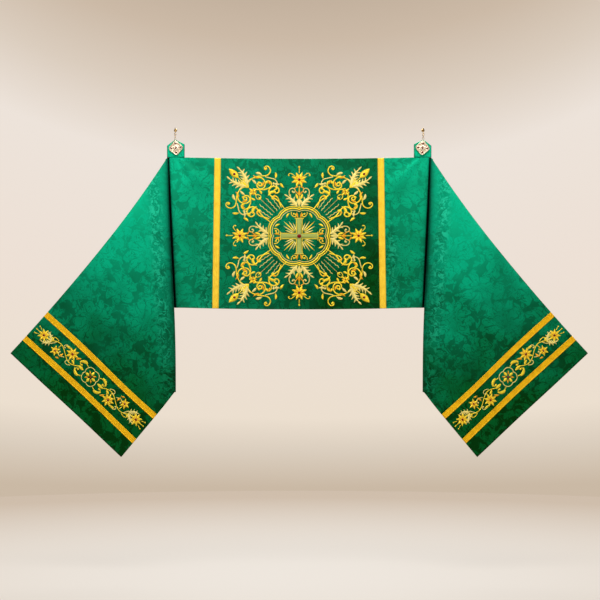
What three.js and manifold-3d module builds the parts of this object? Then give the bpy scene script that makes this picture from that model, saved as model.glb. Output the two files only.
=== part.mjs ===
// A humeral veil, hung up by its two clasps with its ends spread as wings.
//
// One long strip of damask runs across the middle. Behind each clasp it folds back and forth, so that
// each end turns half a right angle and falls as a slanting wing. Gold braids frame the centre panel
// and the embroidered band near each end. Two pointed tabs carry gilt clasps, which hang by short
// chains from plain wall hooks.
//
// Millimetres, +Z up. The veil faces -Y, the wall is the plane Y = 0, and the origin is midway
// between the two wall hooks. The right half is worked out first and the left half mirrors it. In
// this half a point is given by three lengths: out from the middle, down from the cloth's top edge,
// and off the wall.

import * as THREE from "three";
import { mergeVertices } from "three/addons/utils/BufferGeometryUtils.js";
import Module from "manifold-3d";

const wasm = await Module();
wasm.setup();

// Cloth
const STRIP_WIDTH = 549;
const CLOTH_THICKNESS = 2;
const CLOTH_TOP = 100;
const PIECE_GAP = 0.3;
const ROWS = 14;

// Sag of the cloth between the clasps, and the soft waves in its lower half
const TOP_SAG = 2;
const BOTTOM_SAG = 6;
const WAVE_LENGTH = 236;
const WAVE_HEIGHT = 2.5;

// Braids
const BRAID_THICKNESS = 1.2;
const CENTRE_BRAID_WIDTH = 25;
const WING_BRAID_WIDTH = 22;
const PLAIN_END = 64;
const BAND_WIDTH = 94;

// Lines across the strip, each from the top edge of the cloth to its bottom edge
const LINES = {
  seam: { topOut: 297, topDown: 0, bottomOut: 305, bottomDown: STRIP_WIDTH },
  centreFold: { topOut: 474, topDown: 0, bottomOut: 451, bottomDown: STRIP_WIDTH - 2 },
  hiddenFold: { topOut: 485, topDown: 4, bottomOut: 689, bottomDown: 542 },
  wingFold: { topOut: 479, topDown: 0, bottomOut: 450, bottomDown: 854 },
  endEdge: { topOut: 1050, topDown: 713, bottomOut: 646, bottomDown: 1089 },
};
const WING_FOLD_BOW = 5;

// How far each layer of the pleat stands off the wall, at its top and at its bottom
const LAYERS = {
  centre: { top: 17, bottom: 28 },
  back: { top: 9, bottom: 8 },
  middle: { top: 13, bottom: 18 },
  wing: { top: 17, bottom: 38 },
  wingEnd: { top: 30, bottom: 42 },
};
const CENTRE_BOTTOM_OFF = 15;
const CENTRE_FOLD_RADIUS = 3;

// The wing's slanting outer edge bows inwards, most where its length is divided so
const EDGE_BOW = 34;
const EDGE_BOW_AT = 0.42;

// Soft folds that radiate over the wing from the clasp: the angle from straight down, how wide the
// fold spreads in degrees, and how high it stands at the end of the wing
const WING_DRAPES = [
  { angle: 9, spread: 4.5, height: 7 },
  { angle: 19, spread: 4.5, height: -4 },
  { angle: 30, spread: 5, height: 6 },
];
const DRAPE_REACH = 900;

// Columns of faces in each stretch of a side panel, and between the braids of the centre panel
const COLUMNS = { plain: 4, back: 4, turn: 6, middle: 4, wing: 11 };
const CENTRE_COLUMNS = 14;

// Clasp tabs
const TAB = { inner: 418, outer: 481, peakOut: 452, peak: 65, innerShoulder: 48, outerShoulder: 43 };
const TAB_THICKNESS = 3;

// Clasps
const CLASP = { out: 449, up: 35, reach: 26, thickness: 2, bevel: 0.8, tilt: 5.5 };
const CLASP_SQUARENESS = 5.5;
const CLASP_POINTS = 32;
const CLASP_HOLE = { radius: 2.5, from: 16.5, points: 8 };
const CLASP_BOSS = { radius: 7, height: 2.4, points: 16 };

// Chains and wall hooks
const LINK = { wire: 1.8, width: 7, length: 11, sides: 6, steps: 12 };
const LINKS = 4;
const HOOK_OUT = 451.5;
const HOOK_WIRE = { diameter: 3, sides: 8, steps: 14 };
const HOOK_PLATE = { radius: 6, frontRadius: 5, thickness: 2.5, sides: 20 };
const HOOK_REACH = 25;
const HOOK_TIP_RISE = 8;

// Materials
const DAMASK = { color: 0x008a5c, roughness: 0.5, metalness: 0 };
const CENTRE_BRAID_FINISH = { color: 0xf7d450, roughness: 0.5, metalness: 0.2 };
const WING_BRAID_FINISH = { color: 0xf0b31e, roughness: 0.5, metalness: 0.2 };
const GILT = { color: 0xf2e6bc, roughness: 0.35, metalness: 0.9 };
const BRASS = { color: 0xc7a46a, roughness: 0.35, metalness: 1 };

function lerp(a, b, t) {
  return a + (b - a) * t;
}

// A point of the right half from its three lengths
function place(out, down, off) {
  return new THREE.Vector3(out, -off, -CLOTH_TOP - down);
}

function lineOut(line, v) {
  return lerp(line.topOut, line.bottomOut, v);
}

function lineDown(line, v) {
  return lerp(line.topDown, line.bottomDown, v);
}

function layerOff(layer, v) {
  return lerp(layer.top, layer.bottom, v);
}

// Cloth between the two centre folds: nearly flat, with a slight sag and soft waves. v is 0 at the
// top edge and 1 at the bottom edge.
function centrePoint(out, v) {
  const across = Math.min(1, Math.abs(out) / lineOut(LINES.centreFold, v));
  const sag = lerp(TOP_SAG, BOTTOM_SAG, v) * Math.max(0, 1 - (out / TAB.inner) ** 2);
  const bottomOff = lerp(CENTRE_BOTTOM_OFF, LAYERS.centre.bottom, across ** 2);
  const wave = WAVE_HEIGHT * v * (1 - across ** 4) * Math.cos((2 * Math.PI * out) / WAVE_LENGTH);
  const down = lineDown(LINES.centreFold, v) + sag;
  return place(out, down, lerp(LAYERS.centre.top, bottomOff, v) + wave);
}

// The slanting outer edge of the wing, t from 0 at the clasp to 1 at the corner
function wingOuterEdge(t) {
  const start = new THREE.Vector2(LINES.wingFold.topOut, LINES.wingFold.topDown);
  const end = new THREE.Vector2(LINES.endEdge.topOut, LINES.endEdge.topDown);
  const inwards = new THREE.Vector2(start.y - end.y, end.x - start.x).normalize();
  const bow = t < EDGE_BOW_AT ? t / EDGE_BOW_AT : (1 - t) / (1 - EDGE_BOW_AT);
  const amount = (EDGE_BOW / 2) * (1 - (1 - bow) ** 2);
  return start.lerp(end, t).addScaledVector(inwards, amount);
}

// The short lower inner edge of the wing, t from 0 at the wing fold to 1 at the bottom corner
function wingInnerEdge(t) {
  const start = new THREE.Vector2(LINES.wingFold.bottomOut, LINES.wingFold.bottomDown);
  return start.lerp(new THREE.Vector2(LINES.endEdge.bottomOut, LINES.endEdge.bottomDown), t);
}

// How far the radiating folds lift the wing at a point
function wingDrape(out, down) {
  const across = out - LINES.wingFold.topOut;
  const angle = THREE.MathUtils.radToDeg(Math.atan2(across, down));
  const reach = Math.hypot(across, down) / DRAPE_REACH;
  return WING_DRAPES.reduce(
    (sum, fold) => sum + fold.height * reach * Math.exp(-0.5 * ((angle - fold.angle) / fold.spread) ** 2),
    0,
  );
}

// A point of the wing on the line that joins two places of its edges. settle is 0 at the wing fold
// and 1 where the drape is full, along is 0 at the wing fold and 1 at the end edge.
function wingPoint(outerT, innerT, v, along, settle) {
  const flat = wingOuterEdge(outerT).lerp(wingInnerEdge(innerT), v);
  const off = lerp(layerOff(LAYERS.wing, v), layerOff(LAYERS.wingEnd, v), along);
  return place(flat.x, flat.y, off + settle * wingDrape(flat.x, flat.y));
}

// Distances from the end edge at which the wing has a column of points
const endColumns = {
  upperBraidTop: PLAIN_END + 2 * WING_BRAID_WIDTH + BAND_WIDTH,
  upperBraidBottom: PLAIN_END + WING_BRAID_WIDTH + BAND_WIDTH,
  bandUpper: PLAIN_END + WING_BRAID_WIDTH + (BAND_WIDTH * 2) / 3,
  bandLower: PLAIN_END + WING_BRAID_WIDTH + BAND_WIDTH / 3,
  lowerBraidTop: PLAIN_END + WING_BRAID_WIDTH,
  lowerBraidBottom: PLAIN_END,
  plainEnd: PLAIN_END / 2,
  endEdge: 0,
};

const outerLength = Math.hypot(
  LINES.endEdge.topOut - LINES.wingFold.topOut,
  LINES.endEdge.topDown - LINES.wingFold.topDown,
);
const innerLength = Math.hypot(
  LINES.endEdge.bottomOut - LINES.wingFold.bottomOut,
  LINES.endEdge.bottomDown - LINES.wingFold.bottomDown,
);

// The wing fold bows slightly towards the middle of the veil
function wingFoldOut(v) {
  return lineOut(LINES.wingFold, v) + WING_FOLD_BOW * 4 * v * (1 - v);
}

// Adds a half turn of the cloth from one layer to the next. reach is where the fold lies, and side
// is 1 when it opens towards the middle of the veil and -1 when it opens away from it.
function addTurn(points, reach, down, fromOff, toOff, side) {
  const radius = Math.abs(toOff - fromOff) / 2;
  for (let i = 0; i <= COLUMNS.turn; i += 1) {
    const angle = (Math.PI * i) / COLUMNS.turn;
    const off = lerp(fromOff, toOff, (1 - Math.cos(angle)) / 2);
    points.push(place(reach - side * radius * (1 - Math.sin(angle)), down, off));
  }
}

// Adds evenly spaced points between two given ones, without those two
function addRun(points, from, to, faces) {
  for (let i = 1; i < faces; i += 1) {
    points.push(from.clone().lerp(to, i / faces));
  }
}

// One row of the side panel's middle surface, from the seam round the pleat to the end edge, and the
// numbers of the columns that its braids lie on
function sidePanelRow(v) {
  const points = [];
  const seam = lineOut(LINES.seam, v);
  const fold = lineOut(LINES.centreFold, v);
  const flatEnd = fold - CENTRE_FOLD_RADIUS;
  points.push(centrePoint(seam + PIECE_GAP / 2, v));
  const braidEdge = seam + CENTRE_BRAID_WIDTH / 2;
  for (let i = 0; i <= COLUMNS.plain; i += 1) {
    points.push(centrePoint(lerp(braidEdge, flatEnd, i / COLUMNS.plain), v));
  }

  // The crisp fold at the edge of the centre, and the step back to the hidden layer
  const foldDown = lineDown(LINES.centreFold, v);
  const frontOff = layerOff(LAYERS.centre, v);
  const backOff = layerOff(LAYERS.back, v);
  const radius = CENTRE_FOLD_RADIUS;
  const corner = radius * (1 - Math.SQRT1_2);
  points.push(place(fold - corner, foldDown, frontOff - corner));
  points.push(place(fold, foldDown, frontOff - radius));
  points.push(place(fold, foldDown, backOff + radius));
  points.push(place(fold + corner, foldDown, backOff + corner));
  const backStart = place(fold + radius, foldDown, backOff);
  points.push(backStart);

  // The back layer, the hidden fold, the middle layer and the wing fold
  const hiddenOut = lineOut(LINES.hiddenFold, v);
  const hiddenDown = lineDown(LINES.hiddenFold, v);
  const middleOff = layerOff(LAYERS.middle, v);
  const wingOff = layerOff(LAYERS.wing, v);
  const foldOut = wingFoldOut(v);
  const wingDown = lineDown(LINES.wingFold, v);
  const hiddenRadius = (middleOff - backOff) / 2;
  const wingRadius = (wingOff - middleOff) / 2;
  addRun(points, backStart, place(hiddenOut - hiddenRadius, hiddenDown, backOff), COLUMNS.back);
  addTurn(points, hiddenOut, hiddenDown, backOff, middleOff, 1);
  const middleStart = place(hiddenOut - hiddenRadius, hiddenDown, middleOff);
  const middleEnd = place(foldOut + wingRadius, wingDown, middleOff);
  addRun(points, middleStart, middleEnd, COLUMNS.middle);
  addTurn(points, foldOut, wingDown, middleOff, wingOff, -1);

  // The wing, down to the upper braid and then in columns that run along the end edge
  const wingStart = points[points.length - 1];
  const top = endColumns.upperBraidTop;
  const along = 1 - top / lerp(outerLength, innerLength, 0.5);
  for (let i = 1; i < COLUMNS.wing; i += 1) {
    const t = i / COLUMNS.wing;
    const outerT = t * (1 - top / outerLength);
    const innerT = t * (1 - top / innerLength);
    const point = wingPoint(outerT, innerT, v, t * along, Math.min(1, i / 3));
    const startShare = (1 - t) ** 2;
    point.x += startShare * (wingStart.x - wingPoint(0, 0, v, 0, 0).x);
    points.push(point);
  }
  const columnNumbers = {};
  for (const [name, distance] of Object.entries(endColumns)) {
    columnNumbers[name] = points.length;
    const share = lerp(along, 1, 1 - distance / top);
    points.push(wingPoint(1 - distance / outerLength, 1 - distance / innerLength, v, share, 1));
  }
  return { points, columnNumbers };
}

// Rows of points turned into a grid with the outward normal of the cloth's face at each point
function makeGrid(rows) {
  const normals = rows.map((row, j) => row.map((point, i) => {
    const along = row[Math.min(i + 1, row.length - 1)].clone().sub(row[Math.max(i - 1, 0)]);
    const below = rows[Math.min(j + 1, rows.length - 1)][i];
    const down = below.clone().sub(rows[Math.max(j - 1, 0)][i]);
    return down.cross(along).normalize();
  }));
  return { rows, normals };
}

// The stretch of a grid between two columns, both included
function gridColumns(grid, first, last) {
  return {
    rows: grid.rows.map((row) => row.slice(first, last + 1)),
    normals: grid.normals.map((row) => row.slice(first, last + 1)),
  };
}

// A closed wall from a grid, between two distances from its points along the normals
function wallGeometry(grid, near, far) {
  const height = grid.rows.length;
  const width = grid.rows[0].length;
  const positions = [];
  for (const distance of [far, near]) {
    grid.rows.forEach((row, j) => row.forEach((point, i) => {
      positions.push(...point.clone().addScaledVector(grid.normals[j][i], distance).toArray());
    }));
  }
  const indices = [];
  const face = (a, b, c, d) => indices.push(a, b, c, a, c, d);
  const front = (j, i) => j * width + i;
  const back = (j, i) => (height + j) * width + i;
  for (let j = 0; j < height - 1; j += 1) {
    for (let i = 0; i < width - 1; i += 1) {
      face(front(j, i), front(j + 1, i), front(j + 1, i + 1), front(j, i + 1));
      face(back(j, i), back(j, i + 1), back(j + 1, i + 1), back(j + 1, i));
    }
    face(front(j, 0), back(j, 0), back(j + 1, 0), front(j + 1, 0));
    face(front(j, width - 1), front(j + 1, width - 1), back(j + 1, width - 1), back(j, width - 1));
  }
  for (let i = 0; i < width - 1; i += 1) {
    face(front(0, i), front(0, i + 1), back(0, i + 1), back(0, i));
    const j = height - 1;
    face(front(j, i), back(j, i), back(j, i + 1), front(j, i + 1));
  }
  const geometry = new THREE.BufferGeometry();
  geometry.setAttribute("position", new THREE.Float32BufferAttribute(positions, 3));
  geometry.setIndex(indices);
  return geometry;
}

// The same closed shape on the other side of the veil, with its faces still pointing out
function mirrored(geometry) {
  const copy = geometry.index ? geometry.clone() : mergeVertices(geometry);
  copy.scale(-1, 1, 1);
  const index = copy.index.array;
  for (let i = 0; i < index.length; i += 3) {
    [index[i], index[i + 1]] = [index[i + 1], index[i]];
  }
  return copy;
}

// A closed geometry as a solid that can be joined to others
function toManifold(geometry) {
  const plain = geometry.clone();
  plain.deleteAttribute("normal");
  plain.deleteAttribute("uv");
  const merged = mergeVertices(plain, 1e-4);
  return new wasm.Manifold(new wasm.Mesh({
    numProp: 3,
    vertProperties: new Float32Array(merged.attributes.position.array),
    triVerts: new Uint32Array(merged.index.array),
  }));
}

// A joined solid as a geometry again
function fromManifold(solid) {
  const mesh = solid.getMesh();
  const geometry = new THREE.BufferGeometry();
  geometry.setAttribute("position", new THREE.BufferAttribute(mesh.vertProperties, 3));
  geometry.setIndex(new THREE.BufferAttribute(mesh.triVerts, 1));
  return geometry;
}

// The pointed tab that stands on the cloth's top edge
function tabGeometry() {
  const outline = [
    [TAB.inner, PIECE_GAP],
    [TAB.outer, PIECE_GAP],
    [TAB.outer, TAB.outerShoulder],
    [TAB.peakOut, TAB.peak],
    [TAB.inner, TAB.innerShoulder],
  ];
  const shape = new THREE.Shape(outline.map(([out, up]) => new THREE.Vector2(out, up)));
  const geometry = new THREE.ExtrudeGeometry(shape, { depth: TAB_THICKNESS, bevelEnabled: false });
  geometry.rotateX(Math.PI / 2);
  geometry.translate(0, -LAYERS.centre.top + TAB_THICKNESS / 2, -CLOTH_TOP);
  return geometry;
}

// A wire link in the plane of the wall, its middle at the origin
function linkGeometry(length) {
  const ring = (LINK.width - LINK.wire) / 2;
  const geometry = new THREE.TorusGeometry(ring, LINK.wire / 2, LINK.sides, LINK.steps);
  geometry.rotateX(Math.PI / 2);
  const stretch = (length - LINK.width) / 2;
  const position = geometry.attributes.position;
  for (let i = 0; i < position.count; i += 1) {
    const z = position.getZ(i);
    position.setZ(i, z + Math.sign(Math.round(z * 1e3)) * stretch);
  }
  return geometry;
}

// Heights of the chain: the top link hangs over the hook's arm, and each next link hangs in the last
const linkPitch = LINK.length - 2 * LINK.wire - PIECE_GAP;
const topLinkHeight = HOOK_WIRE.diameter / 2 + PIECE_GAP + LINK.wire - LINK.length / 2;
const eyeTop = topLinkHeight - LINKS * linkPitch + LINK.length / 2;
const claspHeight = -CLOTH_TOP + CLASP.up;
const chainOff = LAYERS.centre.top + TAB_THICKNESS / 2 + PIECE_GAP + CLASP.thickness / 2 + CLASP.bevel;

// The openwork clasp: a square with soft corners and slightly full sides that stands on a corner,
// with four holes, a domed boss and an eye for the chain
function claspGeometry() {
  const power = CLASP_SQUARENESS;
  const halfSide = (CLASP.reach - CLASP.bevel) * 2 ** (1 / power - 0.5);
  const outline = [];
  for (let i = 0; i < CLASP_POINTS; i += 1) {
    const angle = (2 * Math.PI * i) / CLASP_POINTS;
    const fromSide = angle - Math.PI / 4;
    const spread = Math.abs(Math.cos(fromSide)) ** power + Math.abs(Math.sin(fromSide)) ** power;
    const radius = halfSide / spread ** (1 / power);
    outline.push(new THREE.Vector2(radius * Math.cos(angle), radius * Math.sin(angle)));
  }
  const shape = new THREE.Shape(outline);
  for (let i = 0; i < 4; i += 1) {
    const angle = (Math.PI * i) / 2;
    const hole = new THREE.Path();
    const x = CLASP_HOLE.from * Math.cos(angle);
    const y = CLASP_HOLE.from * Math.sin(angle);
    hole.absarc(x, y, CLASP_HOLE.radius + CLASP.bevel, 0, 2 * Math.PI, true);
    shape.holes.push(new THREE.Path(hole.getPoints(CLASP_HOLE.points).slice(0, -1)));
  }
  const plate = new THREE.ExtrudeGeometry(shape, {
    depth: CLASP.thickness,
    bevelEnabled: true,
    bevelSegments: 1,
    bevelSize: CLASP.bevel,
    bevelThickness: CLASP.bevel,
  });
  plate.translate(0, 0, -CLASP.thickness / 2);
  const boss = new THREE.LatheGeometry([
    new THREE.Vector2(0, 0),
    new THREE.Vector2(CLASP_BOSS.radius, 0),
    new THREE.Vector2(CLASP_BOSS.radius * 0.8, CLASP_BOSS.height * 0.7),
    new THREE.Vector2(CLASP_BOSS.radius * 0.4, CLASP_BOSS.height),
    new THREE.Vector2(0, CLASP_BOSS.height),
  ], CLASP_BOSS.points);
  boss.rotateX(Math.PI / 2);
  boss.translate(0, 0, CLASP.thickness / 2 + CLASP.bevel - PIECE_GAP);
  const rosette = fromManifold(toManifold(plate).add(toManifold(boss)));
  rosette.rotateZ(THREE.MathUtils.degToRad(-CLASP.tilt));
  rosette.rotateX(Math.PI / 2);
  rosette.translate(CLASP.out, -chainOff, claspHeight);

  const eyeBottom = claspHeight + CLASP.reach - 2 * LINK.wire;
  const eye = linkGeometry(eyeTop - eyeBottom);
  eye.translate(HOOK_OUT, -chainOff, (eyeTop + eyeBottom) / 2);
  return fromManifold(toManifold(rosette).add(toManifold(eye)));
}

// One link of the chain, counted from the hook. Every second link is turned edge on.
function chainLinkGeometry(number) {
  const geometry = linkGeometry(LINK.length);
  if (number % 2 === 1) {
    geometry.rotateZ(Math.PI / 2);
  }
  geometry.translate(HOOK_OUT, -chainOff, topLinkHeight - number * linkPitch);
  return geometry;
}

// The wall hook: a round plate with a flat back, and an arm that turns up at its tip
function wallHookGeometry() {
  const plate = new THREE.CylinderGeometry(
    HOOK_PLATE.frontRadius, HOOK_PLATE.radius, HOOK_PLATE.thickness, HOOK_PLATE.sides,
  );
  plate.rotateX(Math.PI);
  plate.translate(0, -HOOK_PLATE.thickness / 2, 0);
  const root = new THREE.Vector3(0, -HOOK_PLATE.thickness / 2, 0);
  const elbow = new THREE.Vector3(0, -HOOK_REACH + HOOK_WIRE.diameter, 0);
  const bend = new THREE.Vector3(0, -HOOK_REACH, 0);
  const tip = new THREE.Vector3(0, -HOOK_REACH - HOOK_WIRE.diameter / 2, HOOK_TIP_RISE);
  const upright = bend.clone().lerp(tip, 0.5);
  const path = new THREE.CurvePath();
  path.add(new THREE.LineCurve3(root, elbow));
  path.add(new THREE.QuadraticBezierCurve3(elbow, bend, upright));
  path.add(new THREE.LineCurve3(upright, tip));
  const section = new THREE.Shape();
  section.absarc(0, 0, HOOK_WIRE.diameter / 2, 0, 2 * Math.PI, false);
  const round = new THREE.Shape(section.getPoints(HOOK_WIRE.sides).slice(0, -1));
  const arm = new THREE.ExtrudeGeometry(
    round, { steps: HOOK_WIRE.steps, extrudePath: path, bevelEnabled: false },
  );
  const geometry = fromManifold(toManifold(plate).add(toManifold(arm)));
  geometry.translate(HOOK_OUT, 0, 0);
  return geometry;
}

function makeMesh(name, geometry, finish) {
  const mesh = new THREE.Mesh(geometry, new THREE.MeshStandardMaterial(finish));
  mesh.name = name;
  return mesh;
}

const shares = Array.from({ length: ROWS + 1 }, (_, j) => j / ROWS);
const half = CLOTH_THICKNESS / 2;

// Centre panel, with a column under each edge of the braids
const centreGrid = makeGrid(shares.map((v) => {
  const seam = lineOut(LINES.seam, v);
  const inner = seam - CENTRE_BRAID_WIDTH / 2;
  const row = [centrePoint(-seam + PIECE_GAP / 2, v)];
  for (let i = 0; i <= CENTRE_COLUMNS; i += 1) {
    row.push(centrePoint(lerp(-inner, inner, i / CENTRE_COLUMNS), v));
  }
  row.push(centrePoint(seam - PIECE_GAP / 2, v));
  return row;
}));

const sideRows = shares.map((v) => sidePanelRow(v));
const sideGrid = makeGrid(sideRows.map((row) => row.points));
const columns = sideRows[0].columnNumbers;

// Braids lie on the face of the cloth, on the same points moved out
const braidNear = half + PIECE_GAP;
const braidFar = braidNear + BRAID_THICKNESS;
const lastColumn = centreGrid.rows[0].length - 1;
const overSeam = makeGrid(shares.map((v, j) => [
  centreGrid.rows[j][lastColumn - 1],
  centreGrid.rows[j][lastColumn].clone().lerp(sideGrid.rows[j][0], 0.5),
  sideGrid.rows[j][1],
]));
const upperBraid = gridColumns(sideGrid, columns.upperBraidTop, columns.upperBraidBottom);
const lowerBraid = gridColumns(sideGrid, columns.lowerBraidTop, columns.lowerBraidBottom);

const rightPieces = [
  ["side_panel", wallGeometry(sideGrid, -half, half), DAMASK],
  ["braid_centre", wallGeometry(overSeam, braidNear, braidFar), CENTRE_BRAID_FINISH],
  ["braid_wing_upper", wallGeometry(upperBraid, braidNear, braidFar), WING_BRAID_FINISH],
  ["braid_wing_lower", wallGeometry(lowerBraid, braidNear, braidFar), WING_BRAID_FINISH],
  ["tab", tabGeometry(), DAMASK],
  ["clasp", claspGeometry(), GILT],
  ["wall_hook", wallHookGeometry(), BRASS],
];

const veil = new THREE.Group();
veil.add(makeMesh("centre_panel", wallGeometry(centreGrid, -half, half), DAMASK));
for (const [name, geometry, finish] of rightPieces) {
  veil.add(makeMesh(`${name}_right`, geometry, finish));
  veil.add(makeMesh(`${name}_left`, mirrored(geometry), finish));
}
for (let i = 0; i < LINKS; i += 1) {
  const link = chainLinkGeometry(i);
  veil.add(makeMesh(`link_right_${i + 1}`, link, BRASS));
  veil.add(makeMesh(`link_left_${i + 1}`, mirrored(link), BRASS));
}

export default veil;
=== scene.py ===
"""A humeral veil, hung up by its two gilt clasps with its ends spread as wings.

The cloth form is worked out in millimetres for the right half, from the same sizes as the CAD model:
out from the middle, down from the cloth's top edge, and off the wall. The left half mirrors it. The
frame has +Z up, the veil faces -Y, and the wall is the plane Y = 0.
"""

import logging
import math
from collections.abc import Callable, Iterable, Sequence
from dataclasses import dataclass, field, replace
from enum import Enum

import bpy
import numpy as np
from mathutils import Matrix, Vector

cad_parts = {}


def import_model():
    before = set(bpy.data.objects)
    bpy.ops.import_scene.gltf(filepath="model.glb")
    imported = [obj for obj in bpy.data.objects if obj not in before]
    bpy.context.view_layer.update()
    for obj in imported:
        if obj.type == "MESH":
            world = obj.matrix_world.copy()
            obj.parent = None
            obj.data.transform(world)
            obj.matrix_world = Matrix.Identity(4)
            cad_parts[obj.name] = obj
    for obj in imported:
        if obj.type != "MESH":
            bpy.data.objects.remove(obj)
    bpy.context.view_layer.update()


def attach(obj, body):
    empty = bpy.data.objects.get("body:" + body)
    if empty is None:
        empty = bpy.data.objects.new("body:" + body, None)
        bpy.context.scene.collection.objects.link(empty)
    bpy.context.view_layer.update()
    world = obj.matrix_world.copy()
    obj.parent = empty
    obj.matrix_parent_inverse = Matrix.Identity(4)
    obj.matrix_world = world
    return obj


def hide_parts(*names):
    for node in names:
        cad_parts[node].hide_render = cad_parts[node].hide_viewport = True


MM = 0.001
CLOTH_TOP = 100.0
HALF_CLOTH = 1.0
# How far the cloth's cut edge bulges past its grid
RIM = 0.4
# How far from the seam line the cloth of each panel stops
SEAM_GAP = 0.65
PATTERN = "pattern"
# The cut edges of cloth get painted shade, darker than its face by this share
RIM_SHADE = 0.6
# The cloth's pattern coordinates are its place, with the painted shade as the second one. This takes it out.
UNSHADED = (1, 0, 1)

# Whether a grid's last row joins its first, and whether its last column does
SHEET = (False, False)
TUBE = (False, True)
TORUS = (True, True)

# Short names for types
Array = np.ndarray
Pair = tuple[float, float]
Triple = tuple[float, float, float]
Piece = bpy.types.Object

log = logging.getLogger("veil")


class Side(Enum):
    """The two mirrored halves of the veil."""

    LEFT = -1
    RIGHT = 1

    @property
    def tag(self) -> str:
        """The word that ends the names of this half's pieces."""
        return self.name.lower()


class Thread(Enum):
    """The embroidery threads, named for their colours."""

    GOLD = "gold"
    AMBER = "amber"
    CREAM = "cream"
    SAGE = "sage"


GOLD, AMBER, CREAM, SAGE = Thread


# Small sums


def lerp(start: float | Array, end: float | Array, share: float | Array) -> Array:
    """Goes from start to end by a share."""
    return start + (end - start) * share


def place(out: Array, down: Array, off: Array) -> Array:
    """Turns the three lengths of the right half to points of the frame, in millimetres."""
    out, down, off = np.broadcast_arrays(out, down, off)
    return np.stack([out, -off, -CLOTH_TOP - down], axis=-1)


def unit(vectors: Array) -> Array:
    """Scales vectors to length one."""
    return vectors / np.maximum(np.linalg.norm(vectors, axis=-1, keepdims=True), 1e-9)


def turned(points: Array, degrees: float) -> Array:
    """Turns flat points round the origin, from +x towards +y."""
    cosine, sine = math.cos(math.radians(degrees)), math.sin(math.radians(degrees))
    return np.asarray(points) @ np.array([[cosine, sine], [-sine, cosine]])


def circle(points: int) -> Array:
    """Flat points round a circle of radius one, from +x towards +y."""
    angles = 2 * math.pi * np.arange(points) / points
    return np.stack([np.cos(angles), np.sin(angles)], axis=-1)


def linear(code: str) -> tuple[float, float, float, float]:
    """Turns an sRGB hex colour to linear red, green and blue, with full alpha."""
    values = (int(code[i : i + 2], 16) / 255 for i in (1, 3, 5))
    return (*(c / 12.92 if c <= 0.04045 else ((c + 0.055) / 1.055) ** 2.4 for c in values), 1.0)


# Meshes


def cells(index: Array) -> Array:
    """The faces of a grid, as rows of four point numbers, from the numbers of its points."""
    corners = (index[:-1, :-1], index[1:, :-1], index[1:, 1:], index[:-1, 1:])
    return np.stack(corners, axis=-1).reshape(-1, 4)


@dataclass
class Shell:
    """Points and faces that are gathered in millimetres before they become one object."""

    points: list[Array] = field(default_factory=list)
    marks: list[Array] = field(default_factory=list)
    faces: list[Array] = field(default_factory=list)
    count: int = 0

    def add(self, points: Array, faces: Array, marks: Array | None = None) -> None:
        """Adds points and the faces between them.

        Args:
            points: One row for each point.
            faces: Rows of four point numbers, counted from the first of these points.
            marks: The pattern coordinates of each point, in millimetres. Without them the place is used.
        """
        flat = points.reshape(-1, 3)
        self.points.append(flat)
        self.marks.append(flat if marks is None else marks.reshape(-1, 3))
        self.faces.append(faces + self.count)
        self.count += len(flat)

    def add_grid(self, grid: Array, loop: tuple[bool, bool] = SHEET, marks: Array | None = None) -> None:
        """Adds a grid of points with a face in each of its cells.

        Args:
            grid: Points in rows and columns.
            loop: SHEET, TUBE or TORUS.
            marks: Pattern coordinates in the same rows and columns.
        """
        rows, columns = grid.shape[:2]
        index = np.arange(rows * columns).reshape(rows, columns)
        if loop[0]:
            index = np.vstack([index, index[:1]])
        if loop[1]:
            index = np.hstack([index, index[:, :1]])
        self.add(grid, cells(index), marks)

    def make(self, name: str, side: Side = Side.RIGHT) -> Piece:
        """Makes the object, mirrored for the left half.

        Args:
            name: The piece's name.
            side: The half that the piece lies in.

        Returns:
            The object, in metres, with its pattern coordinates as an attribute.
        """
        points = np.concatenate(self.points) * (side.value, 1, 1)
        marks = np.concatenate(self.marks) * (side.value, 1, 1)
        faces = np.concatenate(self.faces)[:, :: side.value]
        mesh = bpy.data.meshes.new(name)
        mesh.from_pydata((points * MM).tolist(), [], faces.tolist())
        attribute = mesh.attributes.new(PATTERN, "FLOAT_VECTOR", "POINT")
        attribute.data.foreach_set("vector", marks.astype(np.float32).ravel())
        mesh.polygons.foreach_set("use_smooth", np.ones(len(faces), dtype=bool))
        mesh.update()
        piece = bpy.data.objects.new(name, mesh)
        bpy.context.scene.collection.objects.link(piece)
        return piece


def grid_normals(grid: Array) -> Array:
    """The outward normals of a grid whose rows go down the cloth and whose columns go out."""
    return unit(np.cross(np.gradient(grid, axis=0), np.gradient(grid, axis=1)))


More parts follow.
